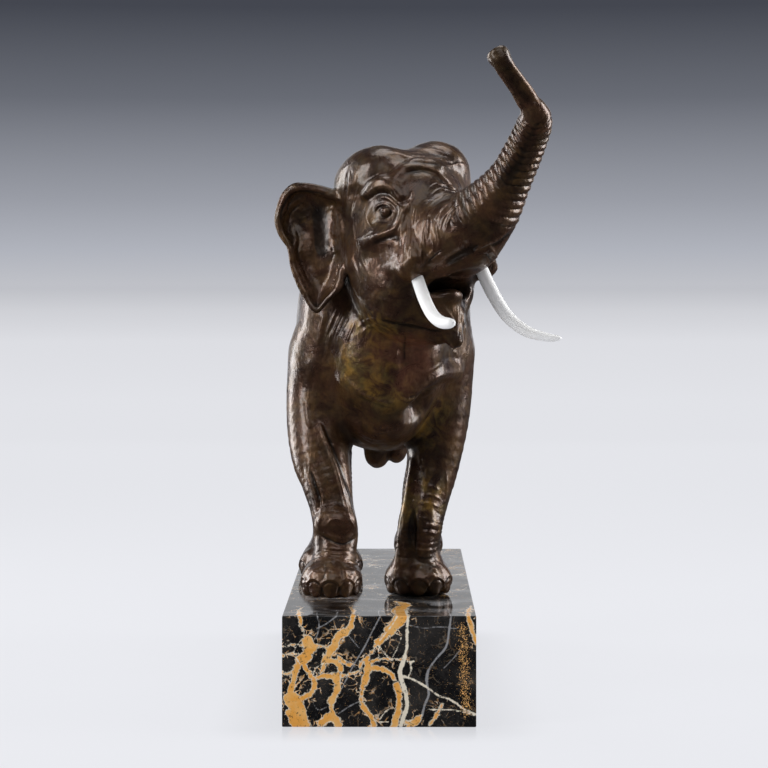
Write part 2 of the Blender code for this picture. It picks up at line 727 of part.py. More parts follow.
def build_plinth(collection):
    bpy.ops.mesh.primitive_cube_add(size=1, location=(0, 0, PLINTH_HEIGHT / 2))
    made = bpy.context.object
    made.name = "marble_plinth"
    made.data.name = "marble_plinth"
    made.scale = (PLINTH_WIDTH, PLINTH_DEPTH, PLINTH_HEIGHT)
    bpy.ops.object.transform_apply(location=False, rotation=False, scale=True)
    edge = made.modifiers.new("arris", "BEVEL")
    edge.width = PLINTH_EDGE
    edge.segments = 2
    made.data.materials.append(material("portoro_marble", *BLACK_MARBLE))
    for holder in made.users_collection:
        holder.objects.unlink(made)
    collection.objects.link(made)
    return made


def main():
    for item in list(bpy.data.objects):
        bpy.data.objects.remove(item)
    collection = bpy.data.collections.new("bronze_elephant")
    bpy.context.scene.collection.children.link(collection)
    cutters = bpy.data.collections.new("cutters")
    bpy.context.scene.collection.children.link(cutters)
    build_plinth(collection)
    elephant = build_elephant(collection)
    white = material("tusk_white", *TUSK_WHITE)
    for side, stations in (("right", RIGHT_TUSK), ("left", LEFT_TUSK)):
        build_tusk(f"{side}_tusk", stations, white, collection)
        cut_socket(elephant, f"{side}_socket", stations, white, cutters)


main()
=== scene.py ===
"""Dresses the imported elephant: fine skin for the casting, smooth tusks, patina, marble, light and floor.

Metres, +Z up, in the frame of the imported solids. The casting's forms are the same as in the solids,
built again on a fine grid, and the folds, rings, lids and nails are then pushed into its surface.
Heights in the tables are above the plinth's top.
"""

import bmesh
import bpy
import numpy as np
import openvdb
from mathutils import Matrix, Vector
from mathutils.kdtree import KDTree


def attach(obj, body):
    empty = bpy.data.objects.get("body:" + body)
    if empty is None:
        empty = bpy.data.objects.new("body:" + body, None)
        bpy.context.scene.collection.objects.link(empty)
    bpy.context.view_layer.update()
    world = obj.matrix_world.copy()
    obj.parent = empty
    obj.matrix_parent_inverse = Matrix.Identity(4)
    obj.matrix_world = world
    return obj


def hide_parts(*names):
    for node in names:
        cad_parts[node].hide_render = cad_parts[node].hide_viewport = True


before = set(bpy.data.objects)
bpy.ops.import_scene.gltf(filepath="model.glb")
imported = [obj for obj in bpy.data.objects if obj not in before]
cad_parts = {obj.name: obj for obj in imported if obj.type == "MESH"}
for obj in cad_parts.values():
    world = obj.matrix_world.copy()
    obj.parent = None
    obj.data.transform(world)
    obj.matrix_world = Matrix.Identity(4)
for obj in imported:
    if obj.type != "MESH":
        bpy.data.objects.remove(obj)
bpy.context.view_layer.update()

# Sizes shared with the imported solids
PLINTH_WIDTH = 0.140
PLINTH_DEPTH = 0.410
PLINTH_HEIGHT = 0.080
PLINTH_EDGE = 0.0008
FIT_GAP = 0.0003
FAR = 0.060
MARGIN = 0.006

# Body masses: middle (x, y, height above the plinth), radii along x, y and z, softness of the join
BODY = {
    "barrel": ((0.001, 0.045, 0.205), (0.072, 0.118, 0.099), 0.01),
    "back": ((0.0, 0.025, 0.262), (0.054, 0.112, 0.064), 0.02),
    "chest": ((0.001, -0.072, 0.2), (0.058, 0.074, 0.086), 0.018),
    "breast": ((0.0, -0.104, 0.178), (0.04, 0.044, 0.058), 0.012),
    "left breast": ((0.026, -0.112, 0.195), (0.024, 0.03, 0.04), 0.008),
    "breastbone": ((0.0, -0.098, 0.142), (0.03, 0.04, 0.03), 0.01),
    "croup": ((0.0, 0.126, 0.208), (0.062, 0.072, 0.088), 0.02),
    "withers": ((-0.002, -0.03, 0.268), (0.058, 0.074, 0.06), 0.02),
    "belly": ((0.002, 0.03, 0.158), (0.06, 0.118, 0.052), 0.02),
    "right shoulder": ((-0.037, -0.086, 0.212), (0.027, 0.04, 0.066), 0.01),
    "left shoulder": ((0.042, -0.068, 0.212), (0.028, 0.04, 0.068), 0.01),
    "right haunch": ((-0.036, 0.112, 0.19), (0.036, 0.058, 0.074), 0.012),
    "left haunch": ((0.036, 0.134, 0.19), (0.036, 0.056, 0.076), 0.012),
    "right hip": ((-0.034, 0.086, 0.284), (0.014, 0.022, 0.014), 0.016),
    "left hip": ((0.034, 0.09, 0.284), (0.014, 0.022, 0.014), 0.016),
    "sheath": ((-0.004, 0.058, 0.099), (0.011, 0.018, 0.014), 0.006),
    "sheath fold": ((0.012, 0.06, 0.101), (0.009, 0.016, 0.012), 0.003),
}

# Limbs, neck and long ridges: stations (x, y, height, radius) from the body outwards, softness of the join
LIMBS = {
    "neck": ([
        (0.0, -0.05, 0.258, 0.054), (0.008, -0.095, 0.264, 0.05), (0.016, -0.122, 0.266, 0.042),
    ], 0.014),
    "throat": ([(0.004, -0.104, 0.235, 0.034), (0.016, -0.118, 0.232, 0.026)], 0.012),
    "right neck cord": ([
        (-0.026, -0.104, 0.262, 0.024), (-0.034, -0.11, 0.226, 0.018), (-0.044, -0.106, 0.18, 0.018),
    ], 0.01),
    "spine": ([
        (0.0, -0.04, 0.322, 0.007), (0.0, 0.02, 0.322, 0.007), (0.0, 0.09, 0.306, 0.007),
        (0.0, 0.15, 0.282, 0.008), (0.0, 0.182, 0.262, 0.009),
    ], 0.012),
    "right foreleg": ([
        (-0.044, -0.092, 0.185, 0.027), (-0.0465, -0.1, 0.14, 0.0255), (-0.0455, -0.112, 0.11, 0.0225),
        (-0.0405, -0.122, 0.09, 0.019), (-0.036, -0.13, 0.069, 0.0163), (-0.0333, -0.136, 0.054, 0.0168),
        (-0.0336, -0.141, 0.04, 0.016), (-0.0345, -0.144, 0.028, 0.0152), (-0.0355, -0.147, 0.018, 0.0175),
    ], 0.01),
    "left foreleg": ([
        (0.046, -0.066, 0.185, 0.027), (0.0445, -0.064, 0.14, 0.0255), (0.041, -0.07, 0.1, 0.0205),
        (0.0355, -0.077, 0.072, 0.0174), (0.031, -0.081, 0.054, 0.0173), (0.0292, -0.081, 0.036, 0.0168),
        (0.0288, -0.08, 0.02, 0.018),
    ], 0.01),
    "right hind leg": ([
        (-0.038, 0.112, 0.175, 0.036), (-0.048, 0.078, 0.122, 0.0245), (-0.045, 0.066, 0.09, 0.0195),
        (-0.042, 0.054, 0.058, 0.0175), (-0.0405, 0.038, 0.034, 0.0165), (-0.0415, 0.026, 0.018, 0.0185),
    ], 0.012),
    "left hind leg": ([
        (0.038, 0.13, 0.175, 0.036), (0.045, 0.122, 0.124, 0.025), (0.042, 0.142, 0.09, 0.02),
        (0.0345, 0.16, 0.058, 0.017), (0.0325, 0.156, 0.034, 0.0165), (0.0312, 0.152, 0.018, 0.0175),
    ], 0.012),
    "tail": ([
        (0.0, 0.18, 0.264, 0.011), (0.002, 0.203, 0.245, 0.0075), (0.004, 0.205, 0.2, 0.0052),
        (0.005, 0.198, 0.15, 0.0045), (0.006, 0.194, 0.112, 0.006), (0.006, 0.193, 0.092, 0.003),
    ], 0.006),
    "right flank fold": ([
        (-0.058, 0.03, 0.128, 0.01), (-0.064, 0.062, 0.146, 0.01), (-0.066, 0.086, 0.172, 0.008),
    ], 0.008),
    "left flank fold": ([
        (0.056, 0.06, 0.126, 0.01), (0.062, 0.088, 0.146, 0.01), (0.066, 0.11, 0.172, 0.008),
    ], 0.008),
}

# Knees, wrists and elbows that stand out from the legs
JOINTS = {
    "right wrist": ((-0.0335, -0.145, 0.06), (0.0158, 0.011, 0.013), 0.004),
    "left wrist": ((0.034, -0.088, 0.052), (0.011, 0.01, 0.013), 0.005),
    "right elbow": ((-0.05, -0.082, 0.132), (0.018, 0.02, 0.02), 0.008),
    "left elbow": ((0.05, -0.044, 0.128), (0.017, 0.02, 0.02), 0.008),
    "right knee": ((-0.05, 0.066, 0.124), (0.021, 0.019, 0.021), 0.008),
    "left knee": ((0.047, 0.11, 0.124), (0.021, 0.019, 0.021), 0.008),
    "right hock": ((-0.0425, 0.07, 0.062), (0.014, 0.011, 0.015), 0.008),
    "left hock": ((0.035, 0.174, 0.062), (0.014, 0.011, 0.015), 0.008),
}

# Feet: middle (x, y), half width, half length, height of the pad's centre, height of the sole
FEET = {
    "right forefoot": (-0.036, -0.15, 0.0225, 0.0262, 0.019, 0.008),
    "left forefoot": (0.0292, -0.081, 0.0262, 0.0265, 0.011, FIT_GAP),
    "right hind foot": (-0.0415, 0.019, 0.0262, 0.0275, 0.0095, FIT_GAP),
    "left hind foot": (0.0312, 0.15, 0.0205, 0.0265, 0.01, FIT_GAP),
}
PAD_HEIGHT = 0.0160
PAD_BLEND = 0.010
SOLE_REACH = 0.020
SOLE_EDGE = 0.0008
NAILS_PER_FOOT = 5
NAIL_SPREAD = 2.3
NAIL_RADII = (0.0054, 0.0034, 0.0056)
NAIL_INSET = 0.0032
NAIL_HEIGHT = 0.0056
NAIL_BLEND = 0.0008
TOE_RADII = (0.0056, 0.005, 0.007)
TOE_INSET = 0.0066
TOE_HEIGHT = 0.0130
TOE_BLEND = 0.005

# Head: where its middle is, how far it turns to its left, and how far it lifts
HEAD_MIDDLE = (0.024, -0.14, 0.276)
HEAD_TURN = 43.0
HEAD_LIFT = 17.0
HEAD_BLEND = 0.006

# Head masses, along the head's own axes: forwards, to its right, upwards
HEAD = {
    "skull": ((-0.014, 0.0, 0.006), (0.056, 0.045, 0.056), 0.01),
    "right dome": ((-0.012, 0.015, 0.044), (0.036, 0.028, 0.028), 0.01),
    "left dome": ((0.006, -0.026, 0.044), (0.034, 0.027, 0.027), 0.01),
    "crown": ((0.004, -0.005, 0.04), (0.032, 0.026, 0.021), 0.01),
    "left temple": ((0.004, -0.034, 0.026), (0.026, 0.018, 0.022), 0.01),
    "forehead": ((0.016, 0.0, 0.022), (0.03, 0.034, 0.028), 0.01),
    "right cheek": ((-0.008, 0.02, -0.03), (0.036, 0.026, 0.044), 0.012),
    "left cheek": ((-0.008, -0.02, -0.03), (0.036, 0.026, 0.044), 0.012),
    "upper lip": ((0.024, 0.0, -0.022), (0.03, 0.036, 0.018), 0.01),
}
HEAD_LIMBS = {
    "jaw": ([
        (-0.022, 0.0, -0.044, 0.034), (0.004, 0.0, -0.062, 0.024), (0.0165, 0.0, -0.077, 0.0115),
        (0.0215, 0.0, -0.0885, 0.0055),
    ], 0.008),
    "right sheath": ([(0.01, 0.03, -0.01, 0.014), (0.028, 0.037, -0.034, 0.0095)], 0.01),
    "left sheath": ([(0.01, -0.03, -0.01, 0.014), (0.027, -0.04, -0.033, 0.01)], 0.008),
}
MOUTH = ((0.034, -0.002, -0.05), (0.034, 0.022, 0.0085), 0.003)
TONGUE = ((0.02, 0.004, -0.057), (0.017, 0.015, 0.0072), 0.005)

# Relief of the face on the head's right, in the same form; each also stands mirrored on its left
FACE_HOLLOWS = {
    "eye socket": ((0.0155, 0.045, 0.012), (0.0105, 0.0055, 0.008), 0.007),
    "cheek hollow": ((0.008, 0.05, -0.019), (0.019, 0.007, 0.01), 0.006),
    "temple hollow": ((-0.004, 0.05, 0.028), (0.011, 0.007, 0.013), 0.006),
}
FACE_RIDGES = {
    "brow": ([
        (0.002, 0.0395, 0.03, 0.0035), (0.0105, 0.037, 0.034, 0.005), (0.0175, 0.0342, 0.0335, 0.0055),
        (0.0242, 0.0318, 0.0286, 0.0048), (0.028, 0.0312, 0.02, 0.0036),
    ], 0.003),
    "pouch under the eye": ([
        (-0.008, 0.0435, -0.004, 0.003), (0.0097, 0.0432, -0.005, 0.0035),
        (0.0189, 0.0405, -0.0048, 0.004), (0.0256, 0.0365, -0.0012, 0.004), (0.03, 0.0318, 0.0085, 0.0035),
    ], 0.003),
    "cheekbone": ([
        (0.0296, 0.0322, 0.009, 0.0035), (0.0288, 0.0352, -0.0047, 0.0042), (0.0325, 0.037, -0.019, 0.005),
        (0.035, 0.0375, -0.03, 0.006),
    ], 0.004),
    "forehead edge": ([
        (0.018, 0.031, 0.033, 0.0035), (0.025, 0.027, 0.0362, 0.005), (0.0305, 0.0165, 0.0415, 0.0062),
        (0.035, 0.006, 0.04, 0.0065), (0.037, -0.001, 0.038, 0.0065),
    ], 0.004),
    "jaw edge": ([
        (-0.024, 0.0395, -0.018, 0.004), (-0.023, 0.0375, -0.038, 0.004), (-0.013, 0.0325, -0.057, 0.004),
    ], 0.01),
}
EYEBALL = ((0.0165, 0.0372, 0.0115), (0.0052, 0.004, 0.0042), 0.0008)

# Relief of the body: ridges and hollows
BODY_HOLLOWS = {
    "left armpit": ((0.033, -0.129, 0.146), (0.013, 0.013, 0.012), 0.01),
    "right armpit": ((-0.021, -0.143, 0.138), (0.007, 0.012, 0.012), 0.008),
    "breast groove": ((0.0185, -0.156, 0.186), (0.004, 0.01, 0.014), 0.006),
    "left shank groove": ((0.0265, -0.103, 0.048), (0.003, 0.01, 0.02), 0.004),
}
BODY_RIDGES = {
    "breast fold": ([
        (-0.0262, -0.132, 0.1672, 0.004), (-0.0036, -0.139, 0.1555, 0.005), (0.014, -0.136, 0.15, 0.005),
        (0.0301, -0.129, 0.1633, 0.005), (0.043, -0.119, 0.172, 0.006), (0.0574, -0.092, 0.1722, 0.006),
    ], 0.006),
    "right foreleg tendon": ([
        (-0.0453, -0.1262, 0.1291, 0.0035), (-0.0406, -0.13, 0.1158, 0.004),
        (-0.0353, -0.1328, 0.1032, 0.0042), (-0.0314, -0.1355, 0.0922, 0.0042),
        (-0.0272, -0.1378, 0.0797, 0.0042), (-0.0235, -0.145, 0.064, 0.0045),
    ], 0.003),
    "right foreleg outer tendon": ([
        (-0.0526, -0.1322, 0.1032, 0.0035), (-0.0494, -0.136, 0.0885, 0.0038),
        (-0.0455, -0.1395, 0.07, 0.0035),
    ], 0.003),
    "left foreleg inner tendon": ([
        (0.026, -0.08, 0.1, 0.004), (0.0225, -0.0855, 0.0725, 0.005), (0.0185, -0.09, 0.05, 0.005),
        (0.0165, -0.09, 0.031, 0.005), (0.015, -0.093, 0.016, 0.005),
    ], 0.003),
    "left foreleg front": ([
        (0.04, -0.085, 0.09, 0.005), (0.035, -0.093, 0.065, 0.005), (0.033, -0.095, 0.035, 0.006),
    ], 0.006),
}

# Trunk: stations (x, y, height, radius)
TRUNK = [
    (0.03, -0.146, 0.275, 0.038), (0.054, -0.174, 0.272, 0.032), (0.076, -0.194, 0.289, 0.024),
    (0.0935, -0.205, 0.314, 0.0162), (0.107, -0.213, 0.342, 0.0135), (0.1115, -0.219, 0.355, 0.0122),
    (0.1105, -0.223, 0.362, 0.0098), (0.106, -0.226, 0.369, 0.0074), (0.1, -0.23, 0.378, 0.0064),
    (0.0905, -0.2355, 0.3905, 0.006), (0.0868, -0.237, 0.3965, 0.0072), (0.0846, -0.2355, 0.4005, 0.0084),
]
TRUNK_BLEND = 0.010
# The flat end of the trunk: how far past its last station, and the form that cuts it off
TRUNK_END = 0.0035
TRUNK_CUT = (0.008, 0.02, 0.02)
TRUNK_CUT_EDGE = 0.0012
NOSTRIL_RADIUS = 0.0024
NOSTRIL_SPREAD = 0.0036
NOSTRIL_SPAN = (0.001, 0.01)
NOSTRIL_EDGE = 0.0008

# Tusks: stations (x, y, height, radius); the first lies inside the socket
RIGHT_TUSK = [
    (0.0235, -0.182, 0.256, 0.0044), (0.028, -0.191, 0.242, 0.0046), (0.0319, -0.203, 0.2305, 0.0047),
    (0.0363, -0.218, 0.2204, 0.0046), (0.0403, -0.229, 0.2149, 0.0045), (0.0446, -0.239, 0.2122, 0.0044),
    (0.0488, -0.247, 0.2117, 0.0039), (0.0512, -0.2515, 0.212, 0.003), (0.052, -0.253, 0.2122, 0.0018),
]
LEFT_TUSK = [
    (0.07, -0.144, 0.264, 0.0048), (0.0762, -0.1495, 0.249, 0.005), (0.0838, -0.1545, 0.2325, 0.005),
    (0.0945, -0.159, 0.2155, 0.0047), (0.108, -0.166, 0.2045, 0.0042), (0.1235, -0.172, 0.2, 0.0031),
    (0.1305, -0.1745, 0.1995, 0.0021), (0.1325, -0.1752, 0.1995, 0.0012),
]

# Ears: the outline of the right one, as (distance out from the root, height); the left one mirrors it
EAR_OUTLINE = [
    (-0.008, 0.302), (0.012, 0.3105), (0.037, 0.315), (0.049, 0.307), (0.054, 0.29), (0.051, 0.277),
    (0.0435, 0.266), (0.04, 0.25), (0.032, 0.233), (0.0205, 0.218), (0.011, 0.227), (0.001, 0.238),
    (-0.002, 0.252), (-0.008, 0.262),
]
EAR_THICKNESS = 0.0046
EAR_RIM = (0.0017, 0.0036)
EAR_HOLLOW = 0.0130
EAR_SLOPE = 0.0160
EAR_ROLL = 0.0300
EAR_SOFTNESS = 0.003
EAR_REACH = 0.075
EAR_LEAN = 0.12
EAR_ROOTS = {
    "right ear": ((-0.0265, -0.145), -1.0, 12.0, 0.0),
    "left ear": ((0.055, -0.1), 1.0, 24.0, 0.38),
}
EAR_BLEND = 0.003

# Fineness of the visible casting
FINE_STEP = 0.0009
GRID_PARTS = (4, 3)
BAND = 1.3
SKIN_TRIANGLES = 190000
# The casting is kept in three pieces, which meet in these planes: height of the head's, places across of both
CASTING_PIECES = ("casting_head", "casting_forequarters", "casting_hindquarters")
HEAD_PLANES = (0.3, -0.075)
HIND_PLANE = -0.020

# The front view in which the lines below are given: where it is seen from, its tilt and turn in
# degrees, and its steps, 768 from edge to edge with the middle at 384
VIEW_POINT = (0.0149, -1.815, 0.3197)
VIEW_TILT = 0.0
VIEW_SHIFT = -0.1311
VIEW_TURN = 0.405
VIEW_STEPS = 768
VIEW_LENS = 104.79
VIEW_FILM = 36.0
# Size in steps of the squares in which it tells what stands in front, and how deep such a square is
VIEW_CELL = 3
VIEW_DEPTH = 0.006

# Lines of relief: height in mm (negative for a groove), half width in steps, and places from above
FACE_LINES = {
    "brow": [
        (0.9, 2.8, [(362, 198), (370, 192), (378, 187), (386, 186), (393, 189), (397, 196)]),
        (-0.6, 1.3, [(370, 199), (378, 194), (387, 194), (394, 198), (399, 204)]),
        (0.8, 1.5, [(376, 200), (383, 197), (390, 199), (396, 204), (403, 210)]),
    ],
    "lids": [
        (-0.3, 0.9, [(375, 206), (381, 202), (388, 202), (394, 207), (398, 212)]),
        (0.75, 1.2, [(373, 212), (378, 205.5), (384, 204), (390, 206.5), (396, 214)]),
        (-0.58, 0.8, [(376, 212), (380, 207.5), (385, 206), (390, 208.5), (393, 214)]),
        (0.52, 0.8, [(378, 213), (381.5, 210), (386, 209.5), (390, 213)]),
        (0.35, 0.9, [(377, 215), (381, 217.5), (386, 218), (391, 215.5)]),
        (-0.2, 1.2, [(376, 218), (381, 221), (387, 221.5), (393, 218.5)]),
    ],
    "pouch": [
        (1.0, 2.4, [
            (404, 210), (401, 216), (398, 222), (394, 229), (388, 232), (381, 234), (373, 238), (365, 241),
        ]),
        (-0.9, 3.0, [(368, 246), (377, 242), (387, 238), (396, 237), (401, 245)]),
        (0.3, 0.9, [(377, 245), (384, 243.5), (391, 245)]),
        (0.3, 0.9, [(378, 256), (385, 254.5), (391, 256)]),
        (0.4, 1.5, [(366, 216), (370, 226), (374, 233)]),
    ],
    "corner": [
        (0.8, 2.0, [(399, 214), (404, 210), (409, 204), (413, 197), (413, 187)]),
        (0.7, 1.5, [(404, 212), (402, 222), (401, 235), (402, 250)]),
        (0.6, 1.3, [(409, 211), (408, 222), (407, 236), (406, 252), (407, 262)]),
        (0.7, 1.2, [(416, 208), (416, 214), (415, 224)]),
        (0.5, 1.2, [(413, 226), (412, 240), (411, 254), (413, 264)]),
        (0.6, 1.1, [(421, 240), (421, 252), (420, 264), (416, 272)]),
        (0.5, 1.2, [(397, 252), (399, 262), (404, 270)]),
    ],
    "temple": [
        (0.5, 1.0, [(345, 174), (345, 184), (343, 196), (341, 205)]),
        (0.6, 1.2, [(350, 171), (349.5, 183), (348, 195), (346, 208)]),
        (0.6, 2.6, [(356, 169), (355, 178), (352, 190)]),
        (0.4, 1.0, [(360, 180), (357, 192), (353, 204), (350, 216)]),
        (-0.4, 1.0, [(347.5, 172), (347, 184), (345.5, 196)]),
        (0.4, 1.4, [(352, 222), (354, 236), (352, 250)]),
    ],
    "cheek": [
        (0.5, 2.0, [(349, 246), (353, 262), (358, 276), (365, 290)]),
        (0.3, 1.5, [(359, 250), (364, 264), (371, 278)]),
        (-0.4, 2.0, [(376, 270), (386, 262), (394, 256)]),
        (0.3, 1.2, [(372, 296), (384, 300), (398, 300)]),
        (0.4, 1.5, [(361, 297), (371, 307), (385, 314), (402, 317)]),
    ],
}
